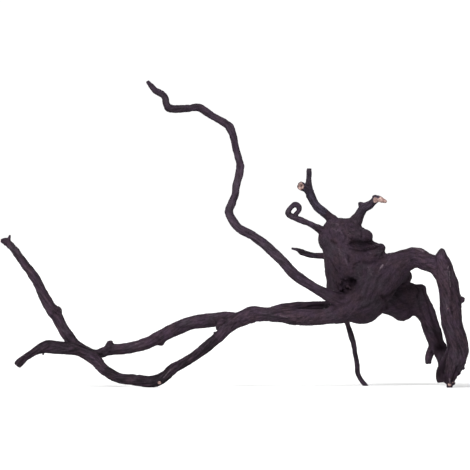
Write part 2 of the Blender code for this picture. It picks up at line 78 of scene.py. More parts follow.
# Routes, from the stump outwards: right, back, up and thickness, in millimetres
ROUTES = {
    "stump trunk": [
        (108.6, 7, 168.6, 20), (108.4, 7, 165, 31), (107.8, 7, 158, 42), (109.8, 7, 148, 47.4),
        (113.8, 8, 136, 51.4), (117.4, 8, 120, 55.2), (119.4, 9, 103, 54), (120.5, 8, 89, 48),
        (120, 5, 80, 32),
    ],
    "diagonal band": [
        (171, -12, 124, 24), (162, -10, 120.4, 29), (150, -9, 110.6, 34.6), (139, -9, 99, 37),
        (129, -8, 90, 37), (117, -8, 82, 31), (105, -9, 75, 24), (92, -11, 71.4, 17.5),
    ],
    "main root": [
        (105, -9, 76, 22), (92, -11, 71, 16.5), (74, -12, 69.8, 17.2), (61, -12, 70.2, 17.3),
        (47.5, -11, 72.2, 16.6), (33, -9, 72.7, 14.4), (24, -7, 72.9, 15.9), (18, -5, 72.8, 17.4),
        (11.8, -4, 70.8, 17), (4.6, -3, 67.9, 16.4), (-3, -2, 65.6, 16),
    ],
    "top strand": [
        (112, 8, 84, 18), (92, 6, 81.4, 10), (74, 4, 81, 9.8), (61, 3, 80.3, 9.8),
        (47.5, 0, 79, 9.4), (35, -3, 75.6, 8.2), (27, -5, 73, 6),
    ],
    "upper arc": [
        (1, -1, 67.4, 15), (-8.5, 4, 67.9, 15), (-18.7, 8, 66.8, 14.8), (-33, 13, 65.8, 14.2),
        (-43.4, 16, 63.8, 14.2), (-53.6, 18, 60.8, 14), (-63.8, 20, 55.8, 14),
        (-74, 21, 50.4, 13.8), (-82.2, 21, 46.4, 12.9), (-92.2, 20, 42.2, 12.2),
        (-104.6, 18, 39, 11.6), (-114.8, 16, 37.9, 12), (-124, 14, 37.4, 11.8),
        (-131, 12, 34.9, 10.4), (-138, 10, 32.4, 9.8), (-145, 9, 33.2, 11),
    ],
    "antler root": [
        (-144, 7, 33, 11), (-151.8, 9, 35.8, 12.3), (-158.2, 10, 40, 12.6),
        (-163.3, 11, 45.2, 12.6), (-168.3, 12, 51.8, 12.4), (-174.2, 13, 61, 11.2),
        (-178, 14, 69.2, 12.2), (-182.2, 15, 75.4, 13.8), (-187.5, 16, 82.8, 12.1),
        (-191.9, 17, 91, 10.9), (-195, 18, 98.1, 10.2), (-199.2, 19, 106.1, 10.2),
        (-205.1, 21, 115, 9.9), (-211.2, 22, 122.8, 9.1), (-216.8, 24, 130.7, 8.5),
        (-221.7, 25, 137.5, 8), (-226.8, 26, 143.1, 7.2), (-230.8, 27, 146, 7.2),
        (-235.2, 28, 145.6, 4.4),
    ],
    "lower arc": [
        (2, -4, 65, 13), (-7.4, -9, 58.8, 12), (-15.2, -13, 51.5, 11.6), (-23.3, -16, 44.8, 11),
        (-33.2, -19, 36.8, 10.8), (-43, -21, 29.8, 10.2), (-53.3, -22, 23.4, 10.2),
        (-61.5, -22, 18.6, 11), (-68.8, -22, 12.4, 11), (-75.8, -21, 7.8, 12.2),
        (-84, -20, 5.9, 12.8), (-94.4, -18, 7, 11.6), (-104.8, -15, 7.7, 11),
        (-115.6, -12, 9.1, 10.9), (-124.1, -9, 13, 11.5), (-132, -7, 18.8, 11.2),
        (-138.2, -5, 26, 12.4), (-145, -4, 31.4, 12.8), (-152, -5, 35.4, 12.6),
    ],
    "hooked root": [
        (-149, -4, 34.2, 12.2), (-157.4, -6, 37.4, 13), (-166.4, -8, 38.6, 13.6),
        (-177.6, -11, 39.7, 14.2), (-186.6, -13, 40.5, 14), (-192.5, -15, 39.4, 11.6),
        (-200.2, -18, 35.2, 8.2), (-208, -22, 30.3, 7.6), (-213.6, -25, 25.7, 8.9),
        (-216.4, -27, 22.3, 8.2),
    ],
    "whisker root": [
        (110, -10, 84, 20), (100, -17, 88.5, 15.5), (92.1, -21, 92.2, 12.6),
        (83.2, -24, 97.1, 11), (74.5, -26, 102.1, 10.6), (65.8, -27, 108, 10.6),
        (57.1, -28, 114.9, 10.6), (48.6, -28, 124.2, 10.6), (39.6, -27, 133, 10.4),
        (30.3, -26, 141.6, 9.8), (20, -25, 150.1, 9.7), (11.6, -23, 154.3, 9.2),
        (3.8, -21, 159.1, 9.1), (-2.2, -18, 166.2, 8.9), (-6.1, -14, 175, 8.7),
        (-3.1, -10, 184.2, 8.2), (0.1, -7, 192.3, 7.9), (1.3, -4, 201.5, 7.9),
        (3.7, -1, 210.7, 8.3), (5.3, 3, 220.9, 8.3), (3, 6, 230.1, 7.5), (0.4, 9, 240.3, 7.4),
        (-1.8, 11, 250.7, 7.8), (-5.4, 13, 260.2, 8.7), (-11.4, 14, 265, 7.9),
        (-19.6, 15, 269.5, 7.5), (-27.9, 15, 274.7, 7.9), (-36, 14, 279.8, 8.1),
        (-44.2, 13, 279, 7.5), (-54.4, 11, 278.3, 8.3), (-64.6, 9, 278.4, 8.3),
        (-68.2, 7, 282.1, 7.8), (-71.1, 5, 291.5, 7.5), (-79.8, 2, 296.5, 6.6),
        (-85.6, -1, 303.1, 5), (-87.6, -2, 306, 3),
    ],
    "shoulder": [
        (137, -4, 111, 40), (151, -8, 117, 32.4), (163, -12, 122.6, 26.6),
        (173, -15, 127.5, 22.4), (182, -19, 129.7, 20.2), (191.8, -24, 125, 18.6),
        (200, -29, 122.2, 19.2), (207.2, -33, 115, 21.4), (210.8, -36, 105.6, 21.8),
        (212.8, -38, 94.6, 21.4), (214.2, -39, 84, 21.9), (215, -40, 72, 22),
        (216.4, -40, 60, 22), (219.6, -39, 49, 22.2), (221.6, -37, 40, 22.2),
        (221.6, -35, 31, 21.2), (217.8, -32, 22, 18.6), (214.4, -29, 13, 14.6), (214, -27, 6, 9),
        (213.4, -26, -3, 4.4),
    ],
    "leg crest": [
        (207, -33, 139, 4), (206, -33.5, 135.4, 8.6), (205.6, -34, 130, 13.6),
        (207, -35, 122.6, 18), (209.4, -36, 112, 20.6), (211.4, -37, 102, 18),
    ],
    "foot strand": [
        (217.6, -31, 38, 14), (211.8, -26, 27, 13.4), (207.8, -23, 17, 13.8),
        (206.6, -22, 10, 13.6), (207.2, -21.5, 5, 12),
    ],
    "inner leg": [
        (140, 6, 98, 40), (154, 14, 92, 40), (167, 18, 88.5, 38), (179, 20, 87, 30.4),
        (190, 21, 75.6, 21.2), (195, 20, 64.5, 18.2), (198.4, 19, 54.7, 18),
        (201, 14, 45.6, 17.2), (205.6, 4, 36, 15), (208.8, -7, 26, 13.6), (209, -15, 16, 13),
    ],
    "leg stub": [
        (200, 15, 42, 11), (195.9, 15, 34.5, 9), (193.9, 15, 28, 7.6), (193.6, 15, 22.6, 6.6),
    ],
    "left horn": [
        (107, 6, 156, 12), (100, 3, 164.6, 11), (94.2, 1, 169.9, 9.6), (87.8, -1, 175.6, 9.4),
        (82.2, -3, 180, 9.1), (78.4, -4, 185.9, 8.5), (75.3, -5, 192.5, 8.8),
        (73.8, -6, 198.4, 8.2), (73.5, -6, 204, 6.4), (73.5, -5, 209.1, 5.7),
        (74, -4, 214.2, 5.6), (74, -3, 219, 5.2),
    ],
    "horn stub": [
        (74.2, -6, 197.2, 7.8), (70.2, -9.5, 198.6, 8.2), (65, -15, 201, 9.6),
    ],
    "right horn": [
        (117, 6, 158, 20), (122.6, 3, 168.5, 12.5), (125.8, 1, 174.8, 10.2),
        (129.8, -1, 179.5, 9.8), (135.2, -3, 182.4, 8.4), (139.4, -5, 186.2, 7.4),
        (142, -6, 188.5, 6.8), (146, -7, 187.2, 6), (149.2, -8, 185.8, 4.2),
        (151.8, -8, 185, 2.4),
    ],
    "horn spur": [
        (128.5, 0, 179.5, 7.4), (125.6, -1, 182.7, 5.2), (124.2, -1, 185, 3.2),
    ],
    "curled tendril": [
        (92, 2, 153.4, 11), (84.5, -2, 158, 8.4), (79.4, -5, 160.6, 6.9), (74.2, -7, 163.2, 6.4),
        (69.1, -8, 165.4, 6.3), (64.7, -9, 167.2, 6.3), (60.2, -10, 169, 5.9),
        (55.7, -10.5, 170.8, 5.7), (52.6, -11, 172.9, 5.2), (53.4, -11.5, 176.3, 5.5),
        (56.2, -12, 179.7, 5.4), (59, -12.5, 182.1, 5.3), (61.8, -13, 182.7, 5.2),
        (64, -13, 180.8, 5.1), (64.3, -12.5, 177.6, 5.1), (62.7, -12, 174.8, 5),
        (60, -11.5, 172.2, 4.6),
    ],
    "side twig": [
        (98, 20, 131, 10), (87.3, 22, 131, 6.7), (82.2, 24, 130.9, 6.4), (75.8, 26, 132.1, 6.2),
        (70.7, 28, 133.4, 6.4), (66.8, 29.5, 134.8, 6.6), (64.2, 30, 136.5, 4.6),
        (60.6, 30.5, 137.8, 3.4), (56.6, 31, 138.6, 2.8),
    ],
    "prop twig": [
        (109.6, 16, 75, 9), (112.6, 22, 64.2, 5.9), (114.5, 25, 57.3, 5.8),
        (116.9, 28, 50.4, 5.8), (119.1, 31, 42.7, 5.7), (120.3, 34, 35.8, 5.1),
        (121.7, 37, 29, 5), (122.8, 39, 22.1, 5), (123.4, 41, 15.2, 5.3), (124.8, 43, 9.8, 5.3),
        (127.6, 45, 5.2, 5.1), (131.4, 47, 0.8, 4.8), (132.8, 47.5, -1.4, 4.6),
    ],
    "back strand": [  # on the hidden side
        (104, 14, 160, 16), (108, 24, 148, 18), (116, 31, 132, 17), (128, 35, 116, 18),
        (141, 35, 102, 20), (155, 32, 93, 22), (168, 26, 88, 22),
    ],
    "back stub": [  # on the hidden side
        (106, 24, 112, 16), (104, 33, 108, 11), (102.6, 40, 105.5, 9.4), (102, 44, 104, 9),
    ],
    "antler thorn": [
        (-228.6, 26, 144.5, 5), (-226.8, 26, 148.4, 3.4), (-226, 26, 152.4, 2.4),
    ],
    "leg thorn": [
        (221, -37, 88, 8), (226, -38, 88.3, 5), (228.6, -38, 88, 3),
    ],
}

# Lumps that stand proud of the roots: middle and half sizes, in millimetres
LUMPS = [
    ((125.8, -8, 150.2), (11.8, 15, 8.4)),  # brow over the stump's eye-like hollow
    ((135, -4, 132.4), (15.4, 22, 13.5)),  # ledge under that hollow
    ((145.4, -8, 138.6), (5, 8, 5)),  # crust at the ledge's end
    ((120, 16, 138), (19, 18, 20)),  # the stump's back
    ((119, 12, 100), (27.4, 27, 24)),  # the stump's belly
    ((126, 3, 73.4), (18, 18, 10.4)),  # the stump's underside
    ((141, 0, 77), (8, 12, 6.4)),  # its outer end
    ((169.2, 4, 110), (8.4, 14, 8.6)),  # web between shoulder and inner leg
    ((168, 16, 77), (12, 12, 11.4)),  # swelling under the inner leg's root
    ((92, 4, 148), (9, 14, 12)),  # cheek beside the tendril
    ((-15.6, -2, 59.4), (4.4, 7, 3.6)),  # web in the crotch of the two arcs
    ((-125.8, 12, 42.2), (4.2, 4.4, 4.4)),  # knob on the upper arc
    ((-75, 20, 43.6), (4.4, 4.6, 3.6)),  # knuckle under the upper arc
    ((-178, 14, 76), (5, 6, 5)),  # knuckle on the antler root
    ((186.4, 20, 97), (6.6, 7, 6.6)),  # knuckle on the inner leg
    ((157.4, 16, 74.5), (4, 5, 4)),  # stub of a lost rootlet under the stump
]

# Hollows that time has eaten into the stump: middle and half sizes, in millimetres
HOLLOWS = [
    ((116, -30, 142.4), (15, 14, 6.6)),  # shallow dish round the eye-like hollow
    ((125.4, -23, 141.8), (14, 11.6, 4.6)),  # eye-like hollow between brow and ledge
    ((119, -19, 143.2), (7, 8, 4.2)),  # its inner end
    ((140, -17, 144.4), (9.4, 11.4, 3.2)),  # its outer end
    ((110.4, -24, 101.6), (13, 13, 9.8)),  # pit over the whisker
    ((117.4, -15, 104.8), (4.2, 5.4, 4)),  # the pit's right hole
    ((109.2, -15.4, 95.6), (4.6, 5, 2.6)),  # the pit's lower hole
    ((153.6, -2, 72.6), (3.4, 16, 4.4)),  # notch between the stump and the inner leg
    ((108, 43, 122), (9, 8, 13)),  # hollow in the stump's back
    ((137, 22, 135), (9, 16, 8)),  # cleft behind the ledge
    ((134, 30, 76), (14, 10, 8)),  # undercut of the back
    ((82, -2, 77.5), (10, 8, 1.6)),  # slot between the main root and the strand over it
]

# Main forks, where the wood is parted: middle, the way the limb runs there, and the radius
FORKS = [
    ((83.2, -24, 97.3), (-0.87, -0.25, 0.42), 8),  # stump and whisker
    ((72, -6, 74), (-1, 0, 0), 18),  # stump and main root
    ((-20.5, 9, 66.5), (-1, 0.3, 0), 9.2),  # main root and upper arc
    ((-19, -14.5, 47.8), (-0.72, -0.25, -0.65), 8.6),  # main root and lower arc
    ((-133, 11.5, 35), (-0.95, -0.2, -0.25), 7),  # upper arc and hooked root
    ((-129.6, -7.6, 16.8), (-0.78, 0.2, 0.58), 8.4),  # lower arc and hooked root
    ((-167, 12, 51.8), (-0.58, 0.1, 0.81), 9),  # hooked root and antler root
    ((178, -17.4, 128.8), (1, -0.4, 0.1), 14),  # stump and outer leg
    ((189.5, 20.8, 71), (0.55, -0.05, -0.83), 13),  # stump and inner leg
    ((204.3, 8, 39.5), (0.35, -0.75, -0.6), 10.5),  # inner leg and the outer leg's foot
    ((89.6, -0.4, 174), (-0.72, -0.25, 0.64), 7.5),  # stump and left horn
    ((125, 1.7, 172.6), (0.4, -0.25, 0.88), 8.5),  # stump and right horn
    ((80.6, -4.5, 160.8), (-0.86, -0.4, 0.4), 5.6),  # stump and tendril
    ((83.5, 23.4, 131.2), (-0.94, 0.34, 0), 5.4),  # stump and side twig
    ((113.8, 24, 59.8), (0.2, 0.4, -0.88), 5),  # stump and prop twig
]

# A point inside each limb, which tells the parted solids from one another
LIMBS = {
    "stump": (117, 8, 120),
    "main_root": (30, -8, 72.5),
    "upper_arc": (-63.6, 20, 55.3),
    "lower_arc": (-68.7, -22, 12.7),
    "hooked_root": (-177.6, -11, 39.7),
    "antler_root": (-193, 18, 98.1),
    "whisker_root": (1.4, -4, 201.5),
    "outer_leg": (216.8, -40, 72),
    "inner_leg": (197.4, 19, 54.7),
    "left_horn": (79, -4, 186.3),
    "right_horn": (134.3, -3, 183.5),
    "curled_tendril": (65, -9, 168),
    "side_twig": (75.8, 26, 132.5),
    "prop_twig": (120.3, 34, 35.8),
}

# Knobs and slivers too fine for the frame's solids: middle and half sizes, in millimetres
SMALL_LUMPS = [
    ((218, -27, 4), (1.9, 2.1, 1.8)),  # knob beside the foot's point
    ((213.6, -27, 1.6), (1.7, 2, 2.6)),  # the foot's point
    ((219.6, -28.4, 10), (1.8, 2, 1.7)),  # burrs up the foot's torn side
    ((222.6, -30, 14.6), (1.8, 2, 1.6)),
    ((227, -33, 19.6), (1.9, 2.2, 1.7)),
    ((229.6, -34.6, 25), (1.4, 2, 1.6)),
    ((112.6, -13.4, 101), (2.8, 2, 2.2)),  # crumbs left in the pit
    ((105.2, -14.4, 104.4), (2, 1.6, 1.7)),
    ((105.4, -14.2, 98.2), (1.7, 1.5, 1.4)),
    ((115.4, -14.4, 98.6), (1.8, 1.6, 1.5)),
    ((110.6, -14.6, 108), (1.8, 1.5, 1.4)),
    ((140, -5.4, 189.9), (3.2, 2.8, 2.2)),  # lip of bark over the right horn's torn tip
    ((72, -8, 195.8), (3.4, 3.4, 3.2)),  # swelling under the left horn's stub
    ((127, -0.6, 181.8), (4, 3.6, 3.5)),  # shoulder between the right horn and its spur
    ((131, -2, 182.2), (3.6, 3.4, 3)),
    ((225.8, -38, 87.6), (2.8, 3.2, 3.4)),  # blunt root of the leg's thorn
    ((-191.6, -8.6, 33.4), (1.5, 2, 1.9)),  # burr under the hooked root
    ((-231.6, 26.6, 145.4), (3.2, 3.4, 2.4)),  # the antler root's flared tip
    ((-229.4, 26.4, 143.4), (3.4, 3.4, 2.8)),
    ((-226.4, 26, 141), (3.2, 3.4, 3.2)),
    ((-20.6, -13, 54.6), (1.6, 2, 1.5)),  # bead in the arcs' fork
    ((-124.4, 9.6, 45), (2.2, 2.2, 1.6)),  # lip of the upper arc's knob
    ((116, -18, 151), (3.2, 3, 2.4)),  # wart on the brow
    ((132.6, -12, 147.8), (3.6, 4, 2.6)),  # brow's outer bulge
    ((134.6, -10, 151), (2.6, 4, 2.4)),  # brow's outer wart
    ((102, -12.4, 151), (3.8, 3, 3.4)),  # swelling at the stump's left shoulder
]

# Creases and ridges: half width, depth and the places that they pass, right and up. A ridge
# has a negative depth, and the depth also sets the painted shade in a crease
CREASES = [
    # the eye-like hollow's lower lid, and the folds of the brow over it
    (1.0, 1.1, [(115, 138.4), (122, 136.6), (131, 136.2), (139, 138.6), (144, 141.2)]),
    (1.0, 0.9, [(125.4, 157), (126.8, 153), (125.6, 149.6)]),
    (1.1, 0.6, [(109.4, 154), (110.6, 149), (108.6, 145)]),
    (1.8, 0.8, [(96, 146), (100, 143.6)]),
    (1.4, -0.5, [(114, 134.6), (121, 134.4), (128, 133.4)]),
    # short gouges in the stump's face
    (1.1, 0.9, [(113, 131.4), (113.6, 125.4)]),
    (0.9, 0.7, [(124.6, 125.4), (118.4, 122)]),
    (0.9, 0.6, [(122.4, 122), (117, 117.6)]),
    (1.1, 0.6, [(93.6, 129), (97, 123), (101, 116.4)]),
    (1.3, 0.6, [(103.6, 118.4), (104.6, 117)]),
    (1.2, -0.5, [(107, 119), (107.6, 114.4)]),
    (1.2, -0.5, [(116, 117.4), (116.4, 113.6)]),
    (1.0, 0.5, [(132, 133), (140, 131), (147, 132.4)]),
    # the pit's ragged inside and its rim
    (1.2, -1.0, [(103.4, 104), (107.6, 101), (111.4, 99.4)]),
    (0.9, -0.9, [(105.4, 97.6), (109.6, 99)]),
    (1.2, 0.8, [(100.4, 104.4), (103, 98)]),
    (1.1, -0.6, [(100, 93.6), (107, 91), (114, 92.6), (119.6, 98.6), (121, 105)]),
    # the cleft between the shoulder's band and what lies behind it
    (2.6, 0.8, [(174, 108.6), (167, 102.6), (158, 96), (149, 90)]),
    (1.5, 1.0, [(146, 91.4), (151, 86), (152, 78)]),
    (1.6, 0.6, [(143, 88), (133, 81), (124, 77.6)]),
    # long soft wrinkles that follow the band down into the main root
    (1.8, 0.4, [(163, 128), (151, 119), (143, 108), (139, 96), (131, 86)]),
    (1.7, 0.35, [(150, 130), (141, 119), (134, 107), (131, 95), (123, 85)]),
    (1.6, 0.35, [(170, 124), (158, 112), (149, 102), (143, 92)]),
    (1.5, 0.3, [(128, 104), (123, 94), (112, 84), (98, 78)]),
    (1.4, 0.3, [(106, 88), (97, 82), (84, 75), (68, 71)]),
    # the shoulder's wrinkles
    (1.6, 0.4, [(158, 134), (168, 136), (178, 134), (190, 128)]),
    (1.5, 0.35, [(164, 127), (174, 129), (183, 125), (193, 119)]),
    (1.2, -0.4, [(150, 131), (158, 136), (167, 139), (177, 139)]),
    # the slot between the main root and the strand over it
    (1.5, 1.8, [(73, 80), (80, 81.4), (88, 81.6), (92, 80.4)]),
    (1.2, 0.4, [(36, 74.5), (46, 76), (58, 77.4), (70, 78.6)]),
    (1.3, 0.4, [(30, 80), (33, 75), (31, 69)]),
    (1.3, 0.5, [(-18, 58), (-8, 61.5), (2, 64.5), (12, 66.5)]),
    (1.3, 0.35, [(-30, 70), (-18, 68.5), (-4, 70.5)]),
    # the outer leg's strands, and the ring where its crest starts
    (1.3, 0.6, [(199.4, 130), (199.6, 125), (200.8, 119)]),
    (1.6, 0.5, [(209.5, 132), (213.6, 120), (214.6, 106), (215.6, 92), (214.6, 80)]),
    (1.5, 0.4, [(214.6, 80), (216.4, 66), (218.6, 52), (221, 40), (221.6, 30)]),
    (1.0, -0.6, [(210.6, 121), (211.6, 112), (212.6, 102), (213, 94)]),
    (0.8, 0.5, [(207, 117.4), (209.6, 117.6), (211.4, 119.6)]),
    (1.2, 0.4, [(222, 84), (219, 78), (214, 74)]),
    (1.4, 0.35, [(204.5, 88), (206, 76), (208.6, 62), (209.6, 48)]),
    (1.2, 0.35, [(226, 66), (227, 54), (229, 42)]),
    # the deep crevice between the outer leg and the inner leg that passes behind it
    (1.8, 1.6, [(212, 42), (209.6, 33), (207.8, 24), (207, 15)]),
    # the layers of the foot's torn side
    (0.9, -0.8, [(219, 23), (215.4, 14), (214.2, 8), (213.6, 3)]),
    (1.0, 1.1, [(220.8, 20.6), (217.8, 14), (216.2, 7)]),
    (0.8, -0.7, [(224, 19.4), (221, 14), (218.8, 8)]),
    (0.7, 0.9, [(226.4, 20.6), (223.6, 16.4), (221, 11.4)]),
    (0.7, 0.8, [(228.6, 25.6), (224.6, 21.4)]),
    (0.9, 0.6, [(209, 24), (208.6, 12), (209.4, 5)]),
    # the inner leg's strands and knuckle
    (1.5, 0.7, [(188.6, 98), (192.4, 86), (197.4, 70), (201, 56), (203.6, 44)]),
    (1.3, 0.6, [(182, 92), (185, 80), (189, 68), (192, 58)]),
    (1.2, 0.9, [(188, 56), (190.4, 48), (192.4, 40), (197, 33)]),
    (1.3, 0.8, [(181, 101), (184.6, 96), (182.6, 90)]),
    (1.5, 0.6, [(160, 94), (166, 86), (174, 82)]),
    (1.5, 0.5, [(155, 86), (163, 78), (172, 76)]),
    # the roots at the left: the crossing, the knuckles and the hooked tip
    (1.2, 0.8, [(-122, 26.5), (-133, 32), (-146, 38), (-160, 43.6), (-172, 45.8)]),
    (1.3, 0.5, [(-132, 29), (-139, 31.6), (-147, 34.6)]),
    (1.2, 0.5, [(-190, 45.4), (-195, 40), (-193, 34.6)]),
    (1.2, 0.4, [(-184, 44), (-187, 38), (-185.6, 34)]),
    (1.0, 0.35, [(-197, 36), (-205, 31), (-211, 27.6)]),
    (1.1, 0.5, [(-126.6, 44), (-124, 39.4), (-125.6, 34.4)]),
    (1.1, 0.5, [(-80, 50), (-74.6, 46), (-75.4, 42.6)]),
    (0.9, 0.4, [(-70, 16), (-64, 21.6), (-58, 24)]),
    (0.8, -0.4, [(-71, 10.4), (-65.6, 16.6), (-60, 20.6)]),
    (0.8, 0.4, [(-73.6, 13), (-68.6, 18.4), (-62.6, 23.6)]),
    (1.2, 0.4, [(-182.6, 72), (-177.6, 76), (-174.6, 80)]),
    (0.8, 0.6, [(-234, 147.6), (-229.6, 142)]),
]

# The same wear on the hidden side, with the same painted shade in its creases
BACK_CREASES = [
    (1.6, 1.6, [(96, 140), (108, 130), (117, 118), (120, 104)]),
    (1.2, 1.2, [(128, 144), (138, 132), (149, 120), (162, 110)]),
    (1.1, 1.0, [(112, 104), (124, 96), (138, 90), (154, 84)]),
    (2.4, 2.0, [(140, 116), (143, 113)]),
    (1.0, 0.8, [(104, 96), (92, 86), (76, 80), (58, 77)]),
    (1.0, 0.8, [(186, 128), (200, 120), (208, 106), (211, 90), (213, 70)]),
    (1.0, 0.8, [(180, 90), (190, 76), (197, 60), (203, 42)]),
    (1.0, 0.7, [(60, 74), (40, 72), (20, 70), (0, 66)]),
    (0.9, 0.7, [(-24, 62), (-50, 58), (-76, 48), (-100, 40)]),
    (0.9, 0.7, [(-150, 38), (-166, 44), (-176, 60), (-186, 80)]),
]

# Worn, dusty places, and painted highlights on top edges: half width, strength and the places that
# they pass
SCUFFS_AND_HIGHLIGHTS = [
    (0.9, 0.8, [(145.4, 119.6), (147, 122)]),
    (0.8, 0.25, [(142, 114), (145, 119)]),
    (0.9, 0.2, [(150, 122), (154, 128)]),
    (0.6, 0.9, [(211.6, 120.8), (211.4, 119)]),
    (0.6, 0.6, [(213, 116), (213.4, 108), (213.8, 101)]),
    # Painted highlight along the shoulder's top edge
    (1.9, 0.42, [(160, 136), (168, 139.4), (178, 139.4), (187, 136)]),
    # Painted highlight on the top of the stump
    (1.6, 0.22, [(97, 164), (103, 162)]),
    (0.8, 0.35, [(44, 72), (52, 70)]),
    (0.7, 0.3, [(74, 66), (77, 67)]),
    (0.8, 0.35, [(-100, 43), (-92, 46)]),
    (0.6, 0.4, [(-71, 10), (-64, 18)]),
    (0.6, 0.45, [(209.8, 83), (210.6, 78)]),
    (0.6, 0.4, [(222.4, 80), (222.6, 76)]),
    (0.8, 0.8, [(213.4, 9), (214.4, 2)]),
    (2.4, 0.2, [(98, 158), (106, 155)]),
    (2, 0.16, [(108, 150), (112, 148)]),
    (2, 0.2, [(103, 138), (106, 132)]),
    (1.4, 0.26, [(110, 128), (112, 122)]),
    (1.2, 0.26, [(122, 116), (124, 110)]),
    (1.6, 0.22, [(133, 120), (136, 112)]),
    (1.4, 0.26, [(134, 134), (143, 134), (148, 136.4)]),
]

# Bare wood: middle, radius and strength
BARE_WOOD = [
    ((64, -16.4, 200.8), 6.4, 1.0),  # the left horn's sawn stub
    ((147, -9.4, 185.8), 7.4, 1.0),  # the right horn's torn tip
    ((139.8, -10, 187.2), 4.6, 1.0),
    ((-75, -26.4, 4), 3.1, 0.95),  # where the lower arc's bend is worn through
    ((-80.4, -26.5, 7), 5, 0.34),  # reddish wood beside it
    ((211.4, -50, 79.4), 1.4, 0.45),  # pink nick on the outer leg
    ((213.6, -31, 8), 2, 0.7),  # torn fibres at the foot's point
    ((213.6, -29.6, 3.4), 2.6, 0.9),
    ((217, -30, 5.4), 1.7, 0.6),
    ((229.6, -37, 45), 2.4, 0.3),  # reddish rub on the outer leg's side
]

# Ends that were sawn off flat: middle, the way the cut faces and its radius
SAW_CUTS = [
    ((64.3, -15.5, 200.8), (-0.67, -0.65, 0.33), 7.5),
    ((73.9, -3, 218.4), (0.1, -0.3, 1), 5),
]

# Fusing the tubes: grain of the first, coarse skin and of the fine one, in millimetres
COARSE_GRAIN = 1.2
FINE_GRAIN = 0.72
COARSE_SMOOTHING_STEPS = 6
FINE_SMOOTHING_STEPS = 5
SMOOTHING = 0.5

# Roots thinner than this lose too much in the coarse skin, so they join the fine one again
THIN_ROOT = 13.0
STEPS_BETWEEN_POINTS = 3
TUBE_SIDES = 20
BALL_SUBDIVISIONS = 4

# The skew ray that tells whether a piece encloses a point, and how far past a hit it goes on
PROBE = Vector((0.31, 0.52, 0.79)).normalized()
PROBE_STEP = 0.001

# Lengths in millimetres: well outside the piece, farther than anything, and so small that
# points merge or that it only keeps a share from being divided by nothing
OUTSIDE = 200
FAR = 1e9
MERGED = 1e-4
HAIR = 0.001

# How wide a saw cut's faces are looked for: grains off its plane, and past its radius
SAWN_GRAINS = 3
SAWN_PAST = 1


def place(right, back, up):
    """A point given in millimetres in the routes' frame, in millimetres in the frame's own."""
    return Vector((right - MIDDLE_X, back - MIDDLE_Y, up))


def between(before, start, end, after, share):
    """The Catmull-Rom curve through four values, at this share of the way from start to end."""
    slope_in = (end - before) / 2
    slope_out = (after - start) / 2
    rise = start - end
    return (
        start
        + slope_in * share
        + (-3 * rise - 2 * slope_in - slope_out) * share**2
        + (2 * rise + slope_in + slope_out) * share**3
    )


def smooth_route(route):
    """The route's points with a smooth curve filled in between them."""
    ends_doubled = [route[0], *route, route[-1]]
    points = []
    for i in range(len(route) - 1):
        four = ends_doubled[i : i + 4]
        for step in range(STEPS_BETWEEN_POINTS):
            share = step / STEPS_BETWEEN_POINTS
            points.append([between(*values, share) for values in zip(*four)])
    points.append(list(route[-1]))
    return points


def stations(route):
    """The route's smooth points as places, radii and frames that turn with it without twisting."""
    points = smooth_route(route)
    places = [place(*point[:3]) for point in points]
    radii = [point[3] / 2 for point in points]
    ways = []
    for i in range(len(places)):
        step = places[min(i + 1, len(places) - 1)] - places[max(i - 1, 0)]
        ways.append(step.normalized())
    across = ways[0].orthogonal().normalized()
    frames = []
    for i, way in enumerate(ways):
        if i:
            across = ways[i - 1].rotation_difference(way) @ across
        across = (across - across.dot(way) * way).normalized()
        frames.append((across, way.cross(across), way))
    return places, radii, frames


def join(shape, part):
    """Adds a bmesh to another one, and frees it."""
    mesh = bpy.data.meshes.new("part")
    part.to_mesh(mesh)
    part.free()
    shape.from_mesh(mesh)
    bpy.data.meshes.remove(mesh)


def add_tube(shape, route):
    """Adds a closed tapering tube: a ring that is extruded from station to station."""
    places, radii, frames = stations(route)
    tube = bmesh.new()
    ring = bmesh.ops.create_circle(tube, segments=TUBE_SIDES, radius=1)["verts"]
    edges = list({edge for vertex in ring for edge in vertex.link_edges})
    open_ends = list(edges)
    before = Matrix.Identity(4)
    for spot, radius, (across, over, way) in zip(places, radii, frames):
        turn = Matrix((across, over, way)).transposed().to_4x4()
        now = Matrix.Translation(spot) @ turn @ Matrix.Scale(radius, 4)
        if before != Matrix.Identity(4):
            grown = bmesh.ops.extrude_edge_only(tube, edges=edges)["geom"]
            ring = [part for part in grown if isinstance(part, bmesh.types.BMVert)]
            in_ring = set(ring)
            edges = [
                part
                for part in grown
                if isinstance(part, bmesh.types.BMEdge) and set(part.verts) <= in_ring
            ]
        bmesh.ops.transform(tube, matrix=now @ before.inverted(), verts=ring)
        before = now
    bmesh.ops.holes_fill(tube, edges=open_ends + edges, sides=0)
    join(shape, tube)


def add_ball(shape, middle, half_sizes):
    """Adds an ellipsoid."""
    ball = bmesh.new()
    bmesh.ops.create_icosphere(ball, subdivisions=BALL_SUBDIVISIONS, radius=1)
    bmesh.ops.scale(ball, vec=half_sizes, verts=ball.verts)
    bmesh.ops.translate(ball, vec=place(*middle), verts=ball.verts)
    join(shape, ball)


def as_object(shape, name):
    mesh = bpy.data.meshes.new(name)
    bmesh.ops.recalc_face_normals(shape, faces=shape.faces)
    shape.to_mesh(mesh)
    shape.free()
    made = bpy.data.objects.new(name, mesh)
    bpy.context.scene.collection.objects.link(made)
    return made


def as_bmesh(obj):
    """A bmesh of the object as its modifiers leave it. The object is removed."""
    bpy.context.view_layer.update()
    graph = bpy.context.evaluated_depsgraph_get()
    shape = bmesh.new()
    shape.from_object(obj, graph)
    bpy.data.objects.remove(obj)
    return shape


def add_remesh(obj, grain):
    remesh = obj.modifiers.new("fuse", "REMESH")
    remesh.mode = "VOXEL"
    remesh.voxel_size = grain
    remesh.use_smooth_shade = True


def add_smoothing(obj, steps):
    smooth = obj.modifiers.new("soften", "SMOOTH")
    smooth.factor = SMOOTHING
    smooth.iterations = steps


